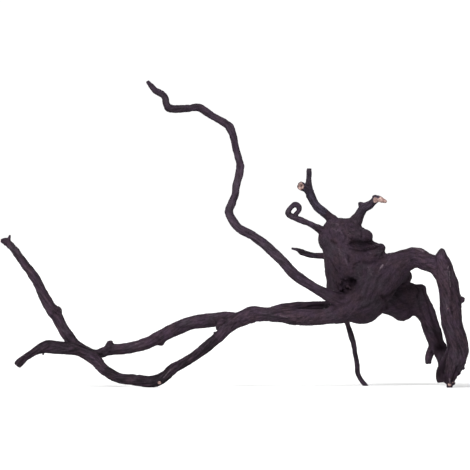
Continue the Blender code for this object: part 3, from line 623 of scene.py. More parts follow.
def coarse_wood():
    """All tubes and lumps fused into one skin, with its hollows cut out."""
    shape = bmesh.new()
    for route in ROUTES.values():
        add_tube(shape, route)
    for middle, half_sizes in LUMPS:
        add_ball(shape, middle, half_sizes)
    wood = as_object(shape, "coarse_wood")
    add_remesh(wood, COARSE_GRAIN)
    cutters = []
    for middle, half_sizes in HOLLOWS:
        shape = bmesh.new()
        add_ball(shape, middle, half_sizes)
        cutter = as_object(shape, "hollow")
        cut = wood.modifiers.new("cut", "BOOLEAN")
        cut.operation = "DIFFERENCE"
        cut.object = cutter
        cutters.append(cutter)
    add_remesh(wood, COARSE_GRAIN)
    add_smoothing(wood, COARSE_SMOOTHING_STEPS)
    shape = as_bmesh(wood)
    for cutter in cutters:
        bpy.data.objects.remove(cutter)
    return shape


def fine_wood():
    """The coarse skin and the thin roots fused again, with a fine grain."""
    shape = coarse_wood()
    for route in ROUTES.values():
        if route[len(route) // 2][3] < THIN_ROOT:
            add_tube(shape, route)
    for middle, half_sizes in SMALL_LUMPS:
        add_ball(shape, middle, half_sizes)
    wood = as_object(shape, "fine_wood")
    add_remesh(wood, FINE_GRAIN)
    add_smoothing(wood, FINE_SMOOTHING_STEPS)
    return as_bmesh(wood)


# Relief of the wood, in millimetres. Lumps, furrows and fissures grow with the root's radius
LUMP_SHARE = 0.11
LUMP_MOST = 1.2
FURROW_SHARE = 0.05
FURROW_MOST = 0.45
FURROW_WIDTH = 0.15
FISSURE_SHARE = 0.07
FISSURE_MOST = 0.24
FISSURE_WIDTH = 0.13
FIBRE_HEIGHT = 0.2
ROUGH_HEIGHT = 0.36
ROUGH_SIZE = 6.5
ROUGH_FRACTAL = (0.8, 2.1, 3)
PORE_DEPTH = 0.5
PORE_WIDTH = 0.16
PORE_SPACING = 3.6

# Pores come in patches: the patches' size, how sharp their edges are, how much they cover
# and where their pattern is taken from
PATCH_SIZE = 17
PATCH_EDGE = 2
PATCH_COVER = 0.25
PATCH_OFFSET = 5.0

# Roots past the first radius have shallower furrows, down to the share at the second
FURROWED_RADIUS = (8.0, 15.0)
FURROWED_SHARE = (1.0, 0.3)

# Noise along a root: its width and length in millimetres, and where its pattern is taken from
FISSURES = (3.1, 26, 23)
FIBRES = (1.15, 12, 37)
STREAKS_IN_GRAIN = (2.6, 34, 53)

# The same for lumps and seams, whose lengths are in the root's radii. A seam turns round it
LUMP_LENGTH = 2.3
SEAM_TURNS = 1.25
SEAM_LENGTH = 8
SEAM_OFFSET = 11

# Where a root's own pattern is taken from: the first root's place and the next one's distance
PATTERN_START = 3.1
PATTERN_STEP = 7.3

# How much painted shade the furrows, fissures, pores and creases get, and how much the relief
# makes the grain. A ridge takes painted shade away
FURROW_SHADE = 0.3
FISSURE_SHADE = 0.25
PORE_SHADE = 0.7
STREAK_GRAIN = 0.6
FIBRE_GRAIN = 0.5
CREASE_SHADE_LIMITS = (-0.8, 1.0)

# How much the grain frays the edges of scuffs and painted highlights, of stains and painted shade,
# and of bare wood, and how bare wood fades
SCUFF_AND_HIGHLIGHT_FRAYS = 0.5
STAIN_AND_SHADE_FRAYS = 0.3
BARE_FRAYS = 0.5
BARE_FADES = 1.6

# How much the fibres wind round a root, in radians a millimetre, and how far apart the roots
# lie in the fibres' own space
FIBRE_WINDING = 0.03
FIBRE_GAP = 40

# How far off a root's points may be to take part in its relief, and how far from its own
# surface, past the nearest root's, they still share in it. The last keeps weights over nothing
RELIEF_REACH = 12
SHARED_REACH = 3.0
LEAST_WEIGHT = 1e-6


def route_lines():
    """Every route's stations as arrays."""
    lines = []
    for route in ROUTES.values():
        places, radii, frames = stations(route)
        knots = np.array(places)
        steps = np.linalg.norm(np.diff(knots, axis=0), axis=1)
        lines.append(
            {
                "knots": knots,
                "radii": np.array(radii),
                "across": np.array([frame[0] for frame in frames]),
                "over": np.array([frame[1] for frame in frames]),
                "way": np.array([frame[2] for frame in frames]),
                "along": np.concatenate([[0.0], np.cumsum(steps)]),
            }
        )
    return lines


def beside(line, points):
    """Where points lie in a root's own terms.

    Gives their height over its surface, their places along, across and over it, and its radius."""
    gaps = points[:, None, :] - line["knots"][None]
    nearest = (gaps**2).sum(2).argmin(1)
    gap = points - line["knots"][nearest]
    way = line["way"][nearest]
    ahead = (gap * way).sum(1)
    outward = gap - ahead[:, None] * way
    across = (outward * line["across"][nearest]).sum(1)
    over = (outward * line["over"][nearest]).sum(1)
    radius = line["radii"][nearest]
    return np.hypot(across, over) - radius, line["along"][nearest] + ahead, across, over, radius


def noise_at(first, second, third, offset):
    """Perlin noise at many places, about -1 to 1."""
    spots = np.stack([first + offset, second - offset, third + 2 * offset], 1)
    return np.array([noise.noise(spot) for spot in spots.tolist()])


def in_blocks(count, size=20000):
    for start in range(0, count, size):
        yield slice(start, min(start + size, count))


def drawn_out(across, over, along, pattern, turn):
    """Noise with spots as wide and as long as the pattern says."""
    width, length, offset = pattern
    return noise_at(across / width, over / width, along / length, turn + offset)


def fading(distance, width):
    """1 at no distance, and close to 0 past the width."""
    return np.exp(-((distance / width) ** 2))


def distance_to(points, middle):
    """The distance of many points to a place in the routes' frame."""
    return np.linalg.norm(points - np.array(place(*middle)), axis=1)


def bark_of(number, along, across, over, radius):
    """Height of a root's own relief, the painted shade in its furrows and fissures, and its grain,
    at many places.
    """
    turn = PATTERN_STEP * number + PATTERN_START
    size = np.hypot(across, over) + HAIR
    around = np.stack([across / size, over / size]) * SEAM_TURNS
    lumps = noise_at(across / radius, over / radius, along / (LUMP_LENGTH * radius), turn)
    seam = noise_at(*around, along / (SEAM_LENGTH * radius), turn + SEAM_OFFSET)
    fissure = drawn_out(across, over, along, FISSURES, turn)
    fibre = drawn_out(across, over, along, FIBRES, turn)
    streak = drawn_out(across, over, along, STREAKS_IN_GRAIN, turn)
    furrow_and_shade = np.interp(radius, FURROWED_RADIUS, FURROWED_SHARE) * fading(seam, FURROW_WIDTH)
    crack = fading(fissure, FISSURE_WIDTH)
    height = (
        np.minimum(LUMP_SHARE * radius, LUMP_MOST) * lumps
        - np.minimum(FURROW_SHARE * radius, FURROW_MOST) * furrow_and_shade
        - np.minimum(FISSURE_MOST, FISSURE_SHARE * radius) * crack
        + FIBRE_HEIGHT * fibre
    )
    furrow_shade = FURROW_SHADE * furrow_and_shade + FISSURE_SHADE * crack
    return height, furrow_shade, STREAK_GRAIN * streak + FIBRE_GRAIN * fibre


def shared_bark(points):
    """The relief of all roots at the skin's points, and each point's place among the fibres.

    Where roots meet, the relief passes from one to the next."""
    lines = route_lines()
    count = len(points)
    least = np.full(count, FAR)
    beside_each = []
    for line in lines:
        reach = line["radii"].max() + RELIEF_REACH
        low = line["knots"].min(0) - reach
        high = line["knots"].max(0) + reach
        near = np.flatnonzero(((points > low) & (points < high)).all(1))
        parts = [beside(line, points[near[block]]) for block in in_blocks(len(near))]
        found = [np.concatenate(column) for column in zip(*parts)]
        np.minimum.at(least, near, found[0])
        beside_each.append((near, found))
    weight_sum = np.zeros(count)
    sums = np.zeros((3, count))
    fibres = np.zeros((count, 3))
    for number, (near, found) in enumerate(beside_each):
        closest = found[0] <= least[near]
        _, along, across, over, _ = [column[closest] for column in found]
        turn = FIBRE_WINDING * along
        turned = across * np.cos(turn) - over * np.sin(turn)
        fibres[near[closest], 0] = turned + FIBRE_GAP * number
        fibres[near[closest], 1] = across * np.sin(turn) + over * np.cos(turn)
        fibres[near[closest], 2] = along
        shares = found[0] < least[near] + SHARED_REACH
        near = near[shares]
        height, *rest = [column[shares] for column in found]
        weight = (1 - (height - least[near]) / SHARED_REACH) ** 2
        weight_sum[near] += weight
        sums[:, near] += weight * np.array(bark_of(number, *rest))
    return sums / np.maximum(weight_sum, LEAST_WEIGHT), fibres


def weathering(points):
    """Roughness and pores that don't follow the roots: height, and the painted shade in the pores.
    """
    spots = points.tolist()
    rough = np.array([noise.fractal(Vector(spot) / ROUGH_SIZE, *ROUGH_FRACTAL) for spot in spots])
    to_pore = np.array([noise.voronoi(Vector(spot) / PORE_SPACING)[0][0] for spot in spots])
    patch = noise_at(*(points.T / PATCH_SIZE), PATCH_OFFSET) * PATCH_EDGE + PATCH_COVER
    pore = fading(to_pore, PORE_WIDTH) * np.clip(patch, 0, 1)
    return ROUGH_HEIGHT * rough - PORE_DEPTH * pore, PORE_SHADE * pore


# Places painted darker than the rest: middle, radius and strength. Some are stains, some painted
# shade
STAINS_AND_PAINTED_SHADE = [
    # Painted shade in the pit, its holes and its shallow left side
    ((110.4, -16, 101.6), 11.4, 0.08),  # inside of the pit
    ((118, -14, 104.4), 4.4, 0.2),  # its right hole
    ((109.6, -14, 95.6), 4.4, 0.2),  # its lower hole
    ((101.4, -22, 101.8), 6, 0.42),  # its shallow left side
    ((103.6, -21, 95.4), 5, 0.4),
    # Painted shade on the floor of the eye-like hollow, and painted shadow under the brow's edge
    ((119.6, -21, 140.4), 4.6, 0.5),  # floor of the eye-like hollow, from its inner end
    ((127, -22, 139.2), 5.4, 0.7),
    ((135, -21, 139.8), 5.2, 0.65),
    ((142.4, -17, 142), 4.6, 0.5),
    ((121, -24, 147), 4.6, 0.34),  # the brow's edge over it
    ((130, -24, 146.4), 4, 0.24),
    # Stains: the stub's pith and rim, and darker tone on the stump's face, band and outer leg
    ((66.6, -15.9, 201), 2, 0.85),  # pith of the left horn's sawn stub
    ((62.4, -12.4, 202.8), 3.8, 0.5),  # its dull rim
    ((112, -20, 116), 25, 0.28),  # the stump's face
    ((145, -20, 108), 26, 0.20),  # the shoulder's band
    # Painted shade under the stump
    ((127, -10, 82), 22, 0.26),  # underside of the stump
    ((209, -40, 96), 22, 0.24),  # upper part of the outer leg
    # Painted shadow behind the band, in its cleft, on the inner leg and in the crevice between the
    # legs
    ((170, 10, 88), 20, 0.44),  # what lies behind the band
    ((158, 0, 92), 8, 0.4),  # the cleft before it
    ((203, 12, 49), 11, 0.8),  # the inner leg beside the outer one
    ((196, 18, 68), 12, 0.24),  # its upper part
    ((189, 20, 60), 12, 0.3),  # its outer side
    ((206.4, -2, 38), 10, 1.0),  # crevice between the legs
    ((207, -14, 25), 6, 0.5),  # its lower end
    # Stains: the foot's darker, redder wood and the rest below
    ((206, -26, 15), 15, 0.66),  # the foot
    ((217, -38, 57), 24, 0.2),  # the outer leg above it
    ((-45, 12, 280), 60, 0.24),  # the whisker's last stretch
    ((-132, 8, 34), 10, 0.25),  # where the arcs cross
    ((-126, 12, 40), 6, 0.3),  # foot of the upper arc's knob
]

# Shade is painted where the wood closes in, from the first share to the second. Rays from a
# point tell how much the wood closes in: how many they are, how far they look, their start over
# the skin, and which share of the points asks
PAINTED_SHADE_FROM = 0.22
PAINTED_SHADE_FULL = 0.62
PAINTED_SHADE_SHARE = 0.5
PAINTED_SHADE_RAYS = 32
PAINTED_SHADE_REACH = 26.0
PAINTED_SHADE_LIFT = 0.3
PAINTED_SHADE_EVERY = 6
PAINTED_SHADE_NEIGHBOURS = 6
GOLDEN_TURN = math.pi * (3 - math.sqrt(5))


def half_sphere():
    """Ways spread over the half sphere round the third axis, most of them near it."""
    ways = []
    for number in range(PAINTED_SHADE_RAYS):
        share = (number + 0.5) / PAINTED_SHADE_RAYS
        lean = math.sqrt(share)
        turn = number * GOLDEN_TURN
        way = (lean * math.cos(turn), lean * math.sin(turn), math.sqrt(1 - share))
        ways.append(Vector(way))
    return ways


def closed_in(shape):
    """How much the wood closes in on each of the skin's points, from 0 in the open to 1."""
    shape.normal_update()
    skin = BVHTree.FromBMesh(shape)
    ways = half_sphere()
    asked = list(shape.verts)[::PAINTED_SHADE_EVERY]
    spots = kdtree.KDTree(len(asked))
    amounts = []
    for number, vertex in enumerate(asked):
        turn = vertex.normal.to_track_quat("Z", "Y").to_matrix()
        start = vertex.co + vertex.normal * PAINTED_SHADE_LIFT
        amount = 0
        for way in ways:
            distance = skin.ray_cast(start, turn @ way, PAINTED_SHADE_REACH)[3]
            if distance is not None:
                amount += 1 - distance / PAINTED_SHADE_REACH
        amounts.append(amount / PAINTED_SHADE_RAYS)
        spots.insert(vertex.co, number)
    spots.balance()
    found = []
    for vertex in shape.verts:
        near = spots.find_n(vertex.co, PAINTED_SHADE_NEIGHBOURS)
        weights = [1 / (distance + PAINTED_SHADE_LIFT) for _, _, distance in near]
        total = sum(weight * amounts[number] for weight, (_, number, _) in zip(weights, near))
        found.append(total / sum(weights))
    return found


def dirt_and_shade_on(shape, points, grain):
    """How dark each point is painted: painted shade where the wood closes in, and the listed
    stains and spots of painted shade.
    """
    share = (np.array(closed_in(shape)) - PAINTED_SHADE_FROM) / (PAINTED_SHADE_FULL - PAINTED_SHADE_FROM)
    dirt_and_shade = PAINTED_SHADE_SHARE * np.clip(share, 0, 1)
    for middle, radius, strength in STAINS_AND_PAINTED_SHADE:
        frayed = radius * (1 + STAIN_AND_SHADE_FRAYS * grain)
        dirt_and_shade += strength * fading(distance_to(points, middle), frayed)
    return np.clip(dirt_and_shade, 0, 1)


def snapped(skin, stroke, side):
    """A stroke's points, given as right and up, on the skin's front or back."""
    start, way = (-OUTSIDE, 1) if side == "front" else (OUTSIDE, -1)
    found = []
    for right, up in stroke:
        spot = place(right, 0, up)
        hit = skin.ray_cast(Vector((spot.x, start, spot.z)), Vector((0, way, 0)))[0]
        found.append(hit if hit else Vector((spot.x, 0, spot.z)))
    return np.array(found)


def distance_to_stroke(points, stroke):
    """The distance of many points to a line of straight pieces."""
    nearest = np.full(len(points), FAR)
    for start, end in zip(stroke[:-1], stroke[1:]):
        piece = end - start
        share = np.clip(((points - start) @ piece) / (piece @ piece), 0, 1)
        gap = points - start - share[:, None] * piece
        nearest = np.minimum(nearest, np.linalg.norm(gap, axis=1))
    return nearest


def creased(skin, points):
    """How deep the creases are at each point, and how much painted shade they give it, less on a
    ridge.
    """
    depth_there = np.zeros(len(points))
    crease_shade = np.zeros(len(points))
    for side, creases in (("front", CREASES), ("back", BACK_CREASES)):
        for width, depth, stroke in creases:
            away = distance_to_stroke(points, snapped(skin, stroke, side))
            near = fading(away, width)
            depth_there += depth * near
            crease_shade += np.clip(depth, *CREASE_SHADE_LIMITS) * near
    return depth_there, crease_shade


def scuffed_and_highlighted(skin, points, grain):
    """How much each point is scuffed, and on the listed top edges, given a painted highlight."""
    scuff_and_highlight = np.zeros(len(points))
    for width, strength, stroke in SCUFFS_AND_HIGHLIGHTS:
        away = distance_to_stroke(points, snapped(skin, stroke, "front"))
        scuff_and_highlight += strength * fading(away, width * (1 + SCUFF_AND_HIGHLIGHT_FRAYS * grain))
    return scuff_and_highlight


def laid_bare(points, grain):
    """How much bare wood shows at each point."""
    bare = np.zeros(len(points))
    for middle, radius, strength in BARE_WOOD:
        inside = BARE_FADES - BARE_FADES * distance_to(points, middle) / radius
        bare = np.maximum(bare, strength * np.clip(inside + BARE_FRAYS * grain, 0, 1))
    return bare


def saw_off_ends(points):
    """Moves what lies past a saw cut back onto it."""
    for middle, way, radius in SAW_CUTS:
        way = np.array(Vector(way).normalized())
        past = (points - np.array(place(*middle))) @ way
        beyond = (past > 0) & (distance_to(points, middle) < radius)
        points[beyond] -= past[beyond, None] * way


def sculpted(shape):
    """Gives the fine skin the wood's relief, and stores what the finish reads."""
    shape.verts.ensure_lookup_table()
    shape.normal_update()
    points = np.array([vertex.co for vertex in shape.verts])
    normals = np.array([vertex.normal for vertex in shape.verts])
    skin = BVHTree.FromBMesh(shape)
    (height, furrow_and_shade, grain), fibres = shared_bark(points)
    rough, pore = weathering(points)
    crease, crease_shade = creased(skin, points)
    scuff_and_highlight = scuffed_and_highlighted(skin, points, grain)
    points = points + normals * (height + rough - crease)[:, None]
    values = {
        # Painted shade in furrows, fissures, pores and creases
        "furrow_and_shade": furrow_and_shade + pore + crease_shade,
        "grain": grain,
        "scuff_and_highlight": scuff_and_highlight,
        "bare": laid_bare(points, grain),
    }
    saw_off_ends(points)
    layers = {name: shape.verts.layers.float.new(name) for name in values}
    fibre_place = shape.verts.layers.float_vector.new("fibre_place")
    for number, vertex in enumerate(shape.verts):
        vertex.co = points[number]
        vertex[fibre_place] = fibres[number] * MM
        for name, layer in layers.items():
            vertex[layer] = float(values[name][number])
    # Painted shade in the hollows, stored with the stains
    dirt_and_shade = shape.verts.layers.float.new("dirt_and_shade")
    for vertex, amount in zip(shape.verts, dirt_and_shade_on(shape, points, grain)):
        vertex[dirt_and_shade] = float(amount)
    stand_flat(shape)
    return shape


def stand_flat(shape):
    """Cuts off what lies under the surface that the piece stands on."""
    everything = list(shape.verts) + list(shape.edges) + list(shape.faces)
    cut = bmesh.ops.bisect_plane(
        shape,
        geom=everything,
        dist=MERGED,
        plane_co=(0, 0, 0),
        plane_no=(0, 0, -1),
        clear_outer=True,
    )["geom_cut"]
    rims = [part for part in cut if isinstance(part, bmesh.types.BMEdge)]
    soles = bmesh.ops.holes_fill(shape, edges=rims, sides=0)["faces"]
    bmesh.ops.triangulate(shape, faces=soles)


def closed_rings(edges):
    """The edges that form closed rings. Loose ends of a cut are left out."""
    edges = set(edges)
    while True:
        loose = {
            edge
            for edge in edges
            if any(sum(other in edges for other in end.link_edges) < 2 for end in edge.verts)
        }
        if not loose:
            return list(edges)
        edges -= loose


def saw_at_forks(shape):
    """Cuts the skin open round the wood at each main fork, and opens it along the cut."""
    faces = list(shape.faces)
    corners = np.array([face.verts[0].co for face in faces])
    near_each = []
    for middle, way, radius in FORKS:
        gaps = corners - np.array(place(*middle))
        off_plane = np.abs(gaps @ np.array(Vector(way).normalized()))
        in_reach = np.linalg.norm(gaps, axis=1) < radius + SAWN_PAST
        near = (off_plane < SAWN_GRAINS * FINE_GRAIN) & in_reach
        near_each.append([faces[number] for number in np.flatnonzero(near)])
    for near, (middle, way, _) in zip(near_each, FORKS):
        edges = {edge for face in near for edge in face.edges}
        corners = {vertex for face in near for vertex in face.verts}
        cut = bmesh.ops.bisect_plane(
            shape,
            geom=near + list(edges) + list(corners),
            dist=MERGED,
            plane_co=place(*middle),
            plane_no=Vector(way).normalized(),
        )["geom_cut"]
        rings = closed_rings(part for part in cut if isinstance(part, bmesh.types.BMEdge))
        bmesh.ops.split_edges(shape, edges=rings)


def mark_stretches(shape):
    """Numbers the separate stretches of skin in a face layer, and gives how many there are."""
    stretch = shape.faces.layers.int.new("stretch")
    count = 0
    for first in shape.faces:
        if first[stretch]:
            continue
        count += 1
        first[stretch] = count
        border = [first]
        while border:
            for edge in border.pop().edges:
                for face in edge.link_faces:
                    if not face[stretch]:
                        face[stretch] = count
                        border.append(face)
    return count


def closed_stretch(shape, number):
    """One stretch of the skin as a bmesh of its own, its sawn ends closed."""
    piece = shape.copy()
    stretch = piece.faces.layers.int["stretch"]
    others = [face for face in piece.faces if face[stretch] != number]
    bmesh.ops.delete(piece, geom=others, context="FACES")
    rims = [edge for edge in piece.edges if edge.is_boundary]
    ends = bmesh.ops.holes_fill(piece, edges=rims, sides=0)["faces"]
    bmesh.ops.triangulate(piece, faces=ends)
    piece.faces.layers.int.remove(stretch)
    return piece


def encloses(tree, point):
    """Whether a ray from the point crosses the closed piece's skin an odd number of times."""
    crossings = 0
    hit = tree.ray_cast(point, PROBE)[0]
    while hit:
        crossings += 1
        hit = tree.ray_cast(hit + PROBE * PROBE_STEP, PROBE)[0]
    return crossings % 2 == 1


def limb_name(piece):
    """The name of the limb whose own point the closed piece encloses."""
    tree = BVHTree.FromBMesh(piece)
    names = [name for name, point in LIMBS.items() if encloses(tree, place(*point))]
    if len(names) != 1:
        middle = sum((vertex.co for vertex in piece.verts), Vector()) / len(piece.verts)
        raise ValueError(f"the piece round {middle} holds the points of these limbs: {names}")
    return names[0]


def keep_shading(mesh):
    """Shades the piece as the whole skin was shaded, so that no seam shows at a fork."""
    mesh.shade_smooth()
    stored = np.empty(len(mesh.vertices) * 3)
    mesh.attributes["own_normal"].data.foreach_get("vector", stored)
    mesh.normals_split_custom_set_from_vertices(stored.reshape(-1, 3).tolist())
    mesh.attributes.remove(mesh.attributes["own_normal"])


def parted(shape):
    """Parts the skin at its main forks. Gives each limb's piece by the limb's name."""
    shape.normal_update()
    own_normal = shape.verts.layers.float_vector.new("own_normal")
    for vertex in shape.verts:
        vertex[own_normal] = vertex.normal
    saw_at_forks(shape)
    pieces = {}
    for number in range(1, mark_stretches(shape) + 1):
        piece = closed_stretch(shape, number)
        name = limb_name(piece)
        bmesh.ops.scale(piece, vec=(MM, MM, MM), verts=piece.verts)
        pieces[name] = as_object(piece, name + "_wood")
        keep_shading(pieces[name].data)
    shape.free()
    return pieces


# Colours of the wood, linear. Its dust is mauve, russet in places and bluish on the twigs
# Deep brown is the painted shade in hollows, creases and furrows, and the colour of stains
SHADE_AND_STAIN_BROWN = (0.0020, 0.0006, 0.0016, 1)
CHARCOAL = (0.0092, 0.0071, 0.0090, 1)
MAUVE = (0.0532, 0.0329, 0.0522, 1)
RUSSET = (0.0542, 0.0329, 0.0442, 1)
ASH = (0.0487, 0.0365, 0.0484, 1)
BLUISH = (0.0470, 0.0378, 0.0592, 1)
# The pale of scuffs, and of painted highlights on top edges
SCUFF_AND_HIGHLIGHT_PALE = (0.23, 0.18, 0.21, 1)
BARE_PALE = (0.44, 0.31, 0.28, 1)
BARE_BROWN = (0.19, 0.11, 0.10, 1)

# Spots in the finish: scale, detail and roughness, and the values that count as none and full
PATCHES = (42, 4, 0.55, 0.36, 0.66)
MOTTLE = (200, 4, 0.66, 0.32, 0.70)
SPECKS = (900, 3, 0.7, 0.34, 0.66)
STREAKS = (560, 3, 0.7, 0.36, 0.64)
RUSSET_SPOTS = (95, 3, 0.55, 0.42, 0.62)
ASHEN_SPOTS = (60, 2, 0.55, 0.50, 0.66)
BROWN_SPOTS = (420, 3, 0.55, 0.42, 0.62)

# How much each of them weighs in the tone, and the tone that all of them leave on the whole
PATCH_WEIGHT = 0.22
MOTTLE_WEIGHT = 0.24
SPECK_WEIGHT = 0.36
STREAK_WEIGHT = 0.66
STUMP_STREAK_WEIGHT = 0.30
GRAIN_WEIGHT = 0.24
MIDDLE_TONE = 0.49

# Along the fibres the streaks' noise is scaled down to this share
STREAK_DRAW = 0.16

# From which value to which a layer shows, and how much of it shows there
SCUFF_AND_HIGHLIGHT_BREAKS_UP = (0.1, 0.8, 0.35, 1.1)
SCUFF_AND_HIGHLIGHT_SHOWS = (0.1, 1.0, 0.0, 0.9)
BARE_SHOWS = (0.35, 0.65)
FURROW_SHADE_SHOWS = (0.05, 0.95, 0.0, 0.6)
ROUGHNESS_BY_TONE = (0.0, 1.0, 0.74, 0.92)

# The wood's faint gloss and the fine grain in its bump, whose height is in metres
GLOSS = 0.04
BUMP_STRENGTH = 0.5
BUMP_HEIGHT = 0.0006
BUMP_NOISE = (1500, 3, 0.6)
BUMP_MOTTLE = 0.8

# How much lighter or darker than the rest a limb is, and how bluish. The darker lower arc, hooked
# root and side twig are painted shade
TINTS_AND_SHADE = {
    "whisker_root": (0.12, 0.35),
    "left_horn": (0.05, 1.0),
    "right_horn": (0.02, 0.6),
    "curled_tendril": (0.06, 0.4),
    "upper_arc": (0.07, 0.0),
    "lower_arc": (-0.33, 0.0),
    "hooked_root": (-0.16, 0.0),
    "antler_root": (-0.02, 0.0),
    "prop_twig": (-0.06, 0.3),
    "side_twig": (-0.32, 0.5),
}


def blended(first, second, share):
    """A colour between two."""
    return tuple(a + (b - a) * share for a, b in zip(first, second))


class Graph:
    """A short way to write a material's nodes."""

    def __init__(self, material):
        material.use_nodes = True
        self.tree = material.node_tree
        self.shader = self.tree.nodes["Principled BSDF"]
        self.object = self.node("ShaderNodeTexCoord").outputs["Object"]

    def node(self, kind, **settings):
        made = self.tree.nodes.new(kind)
        for name, value in settings.items():
            setattr(made, name, value)
        return made

    def link(self, source, target):
        self.tree.links.new(source, target)

    def put(self, value, socket):
        if isinstance(value, bpy.types.NodeSocket):
            self.link(value, socket)
        else:
            socket.default_value = value

    def math(self, operation, first, second=0.0, clamp=False):
        made = self.node("ShaderNodeMath", operation=operation, use_clamp=clamp)
        self.put(first, made.inputs[0])
        self.put(second, made.inputs[1])
        return made.outputs[0]

    def mix(self, factor, first, second):
        made = self.node("ShaderNodeMix", data_type="RGBA")
        self.put(factor, made.inputs["Factor"])
        self.put(first, made.inputs["A"])
        self.put(second, made.inputs["B"])
        return made.outputs["Result"]

    def attribute(self, name, output="Fac"):
        return self.node("ShaderNodeAttribute", attribute_name=name).outputs[output]

    def noise(self, scale, detail, roughness, lengthwise=None):
        """Noise in the object's own space, or drawn out along the fibres to that share."""
        mapping = self.node("ShaderNodeMapping")
        if lengthwise:
            mapping.inputs["Scale"].default_value = (1, 1, lengthwise)
            self.link(self.attribute("fibre_place", "Vector"), mapping.inputs["Vector"])
        else:
            self.link(self.object, mapping.inputs["Vector"])
        made = self.node("ShaderNodeTexNoise")
        made.inputs["Scale"].default_value = scale
        made.inputs["Detail"].default_value = detail
        made.inputs["Roughness"].default_value = roughness
        self.link(mapping.outputs["Vector"], made.inputs["Vector"])
        return made.outputs["Fac"]

    def spread(self, value, low, high, to_low=0.0, to_high=1.0):
        made = self.node("ShaderNodeMapRange", clamp=True)
        limits = {"From Min": low, "From Max": high, "To Min": to_low, "To Max": to_high}
        for name, amount in limits.items():
            made.inputs[name].default_value = amount
        self.link(value, made.inputs["Value"])
        return made.outputs["Result"]

    def spots(self, kind, lengthwise=None):
        *of_noise, none, full = kind
        return self.spread(self.noise(*of_noise, lengthwise), none, full)


def wood_finish(name, lightness, blueness):
    """Weathered wood: charcoal under mauve dust, painted shade in its hollows and creases, painted
    highlights on some top edges, pale where it broke.
    """
    material = bpy.data.materials.new(name)
    graph = Graph(material)
    mottle = graph.spots(MOTTLE)
    specks = graph.spots(SPECKS)
    streaky = STUMP_STREAK_WEIGHT if name.startswith("stump") else STREAK_WEIGHT
    layers = (
        (graph.spots(PATCHES), PATCH_WEIGHT),
        (mottle, MOTTLE_WEIGHT),
        (specks, SPECK_WEIGHT),
        (graph.spots(STREAKS, STREAK_DRAW), streaky),
        (graph.attribute("grain"), GRAIN_WEIGHT),
    )
    of_spots = PATCH_WEIGHT + MOTTLE_WEIGHT + SPECK_WEIGHT + streaky
    tone = lightness + MIDDLE_TONE - 0.5 * of_spots
    for layer, weight in layers:
        tone = graph.math("ADD", tone, graph.math("MULTIPLY", layer, weight))
    tone = graph.math("ADD", tone, 0.0, clamp=True)
    mauve = blended(MAUVE, BLUISH, blueness)
    russet = blended(RUSSET, BLUISH, blueness)
    dust = graph.mix(graph.spots(RUSSET_SPOTS), mauve, russet)
    dust = graph.mix(graph.spots(ASHEN_SPOTS), dust, ASH)
    colour = graph.mix(tone, CHARCOAL, dust)
    # Scuffs, and painted highlights along top edges, show pale
    broken_up = graph.spread(specks, *SCUFF_AND_HIGHLIGHT_BREAKS_UP)
    rubbed_and_highlighted = graph.math("MULTIPLY", graph.attribute("scuff_and_highlight"), broken_up)
    colour = graph.mix(graph.spread(rubbed_and_highlighted, *SCUFF_AND_HIGHLIGHT_SHOWS), colour, SCUFF_AND_HIGHLIGHT_PALE)
    inside = graph.mix(graph.spots(BROWN_SPOTS), BARE_PALE, BARE_BROWN)
    colour = graph.mix(graph.spread(graph.attribute("bare"), *BARE_SHOWS), colour, inside)
    # Painted shade: hollows, spots of painted shade, stains, furrows, fissures, pores and creases
    # are mixed towards deep brown
    for layer in (
        graph.attribute("dirt_and_shade"),
        graph.spread(graph.attribute("furrow_and_shade"), *FURROW_SHADE_SHOWS),
    ):
        colour = graph.mix(layer, colour, SHADE_AND_STAIN_BROWN)
    graph.link(colour, graph.shader.inputs["Base Color"])
    graph.link(graph.spread(tone, *ROUGHNESS_BY_TONE), graph.shader.inputs["Roughness"])
    graph.shader.inputs["Specular IOR Level"].default_value = GLOSS
    bump = graph.node("ShaderNodeBump")
    bump.inputs["Strength"].default_value = BUMP_STRENGTH
    bump.inputs["Distance"].default_value = BUMP_HEIGHT
    mottled = graph.math("MULTIPLY", mottle, BUMP_MOTTLE)
    fine = graph.math("ADD", graph.noise(*BUMP_NOISE), mottled)
    graph.link(fine, bump.inputs["Height"])
    graph.link(bump.outputs["Normal"], graph.shader.inputs["Normal"])
    return material


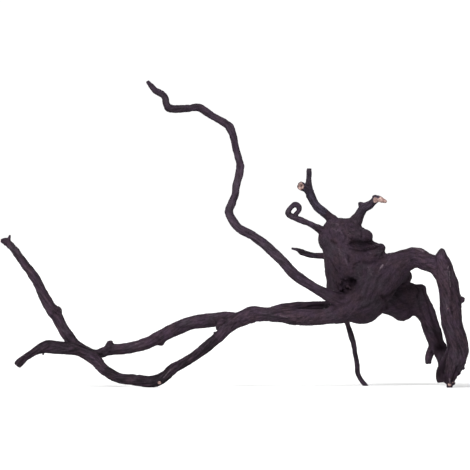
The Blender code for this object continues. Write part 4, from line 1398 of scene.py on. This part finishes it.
def floor_and_light():
    shape = bmesh.new()
    bmesh.ops.create_grid(shape, x_segments=1, y_segments=1, size=FLOOR_SIZE)
    mesh = bpy.data.meshes.new("floor")
    shape.to_mesh(mesh)
    shape.free()
    floor = bpy.data.objects.new("floor", mesh)
    bpy.context.scene.collection.objects.link(floor)
    paint = bpy.data.materials.new("pale_floor")
    graph = Graph(paint)
    graph.shader.inputs["Base Color"].default_value = FLOOR_COLOUR
    graph.shader.inputs["Roughness"].default_value = FLOOR_ROUGHNESS
    mesh.materials.append(paint)

    world = bpy.data.worlds.new("studio")
    world.use_nodes = True
    bpy.context.scene.world = world
    tree = world.node_tree
    seen = tree.nodes["Background"]
    seen.inputs["Color"].default_value = WHITE
    seen.inputs["Strength"].default_value = BACKDROP_STRENGTH
    shines = tree.nodes.new("ShaderNodeBackground")
    shines.inputs["Color"].default_value = WHITE
    shines.inputs["Strength"].default_value = WORLD_STRENGTH
    rays = tree.nodes.new("ShaderNodeLightPath")
    mixed = tree.nodes.new("ShaderNodeMixShader")
    tree.links.new(rays.outputs["Is Camera Ray"], mixed.inputs["Fac"])
    tree.links.new(shines.outputs["Background"], mixed.inputs[1])
    tree.links.new(seen.outputs["Background"], mixed.inputs[2])
    tree.links.new(mixed.outputs["Shader"], tree.nodes["World Output"].inputs["Surface"])

    for name, towards, strength, width, shadows in LIGHTS:
        light = bpy.data.lights.new(name, "SUN")
        light.energy = strength
        light.angle = math.radians(width)
        light.use_shadow = shadows
        lamp = bpy.data.objects.new(name, light)
        lamp.rotation_euler = Vector(towards).to_track_quat("-Z", "Y").to_euler()
        bpy.context.scene.collection.objects.link(lamp)
    bpy.context.scene.view_settings.view_transform = "Standard"


def camera():
    """Level with the piece's middle, far off: the picture is one millimetre a pixel there."""
    lens = bpy.data.cameras.new("camera")
    lens.sensor_width = SENSOR
    lens.lens = SENSOR * CAMERA_DISTANCE / (PICTURE_WIDTH * MM)
    lens.clip_end = SEES_AS_FAR_AS
    seen_from = bpy.data.objects.new("camera", lens)
    seen_from.location = place(0, 0, CAMERA_HEIGHT) * MM + Vector((0, -CAMERA_DISTANCE, 0))
    seen_from.rotation_euler = (math.radians(90), 0, 0)
    bpy.context.scene.collection.objects.link(seen_from)
    bpy.context.scene.camera = seen_from


def dress():
    """Makes the wood and lets each of its pieces stand for its limb of the frame."""
    for name, piece in parted(sculpted(fine_wood())).items():
        tint_and_shade = TINTS_AND_SHADE.get(name, (0.0, 0.0))
        piece.data.materials.append(wood_finish(name + "_finish", *tint_and_shade))
        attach(piece, "root")
        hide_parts(name)
        print(name, len(piece.data.polygons), "faces")


camera()
floor_and_light()
dress()
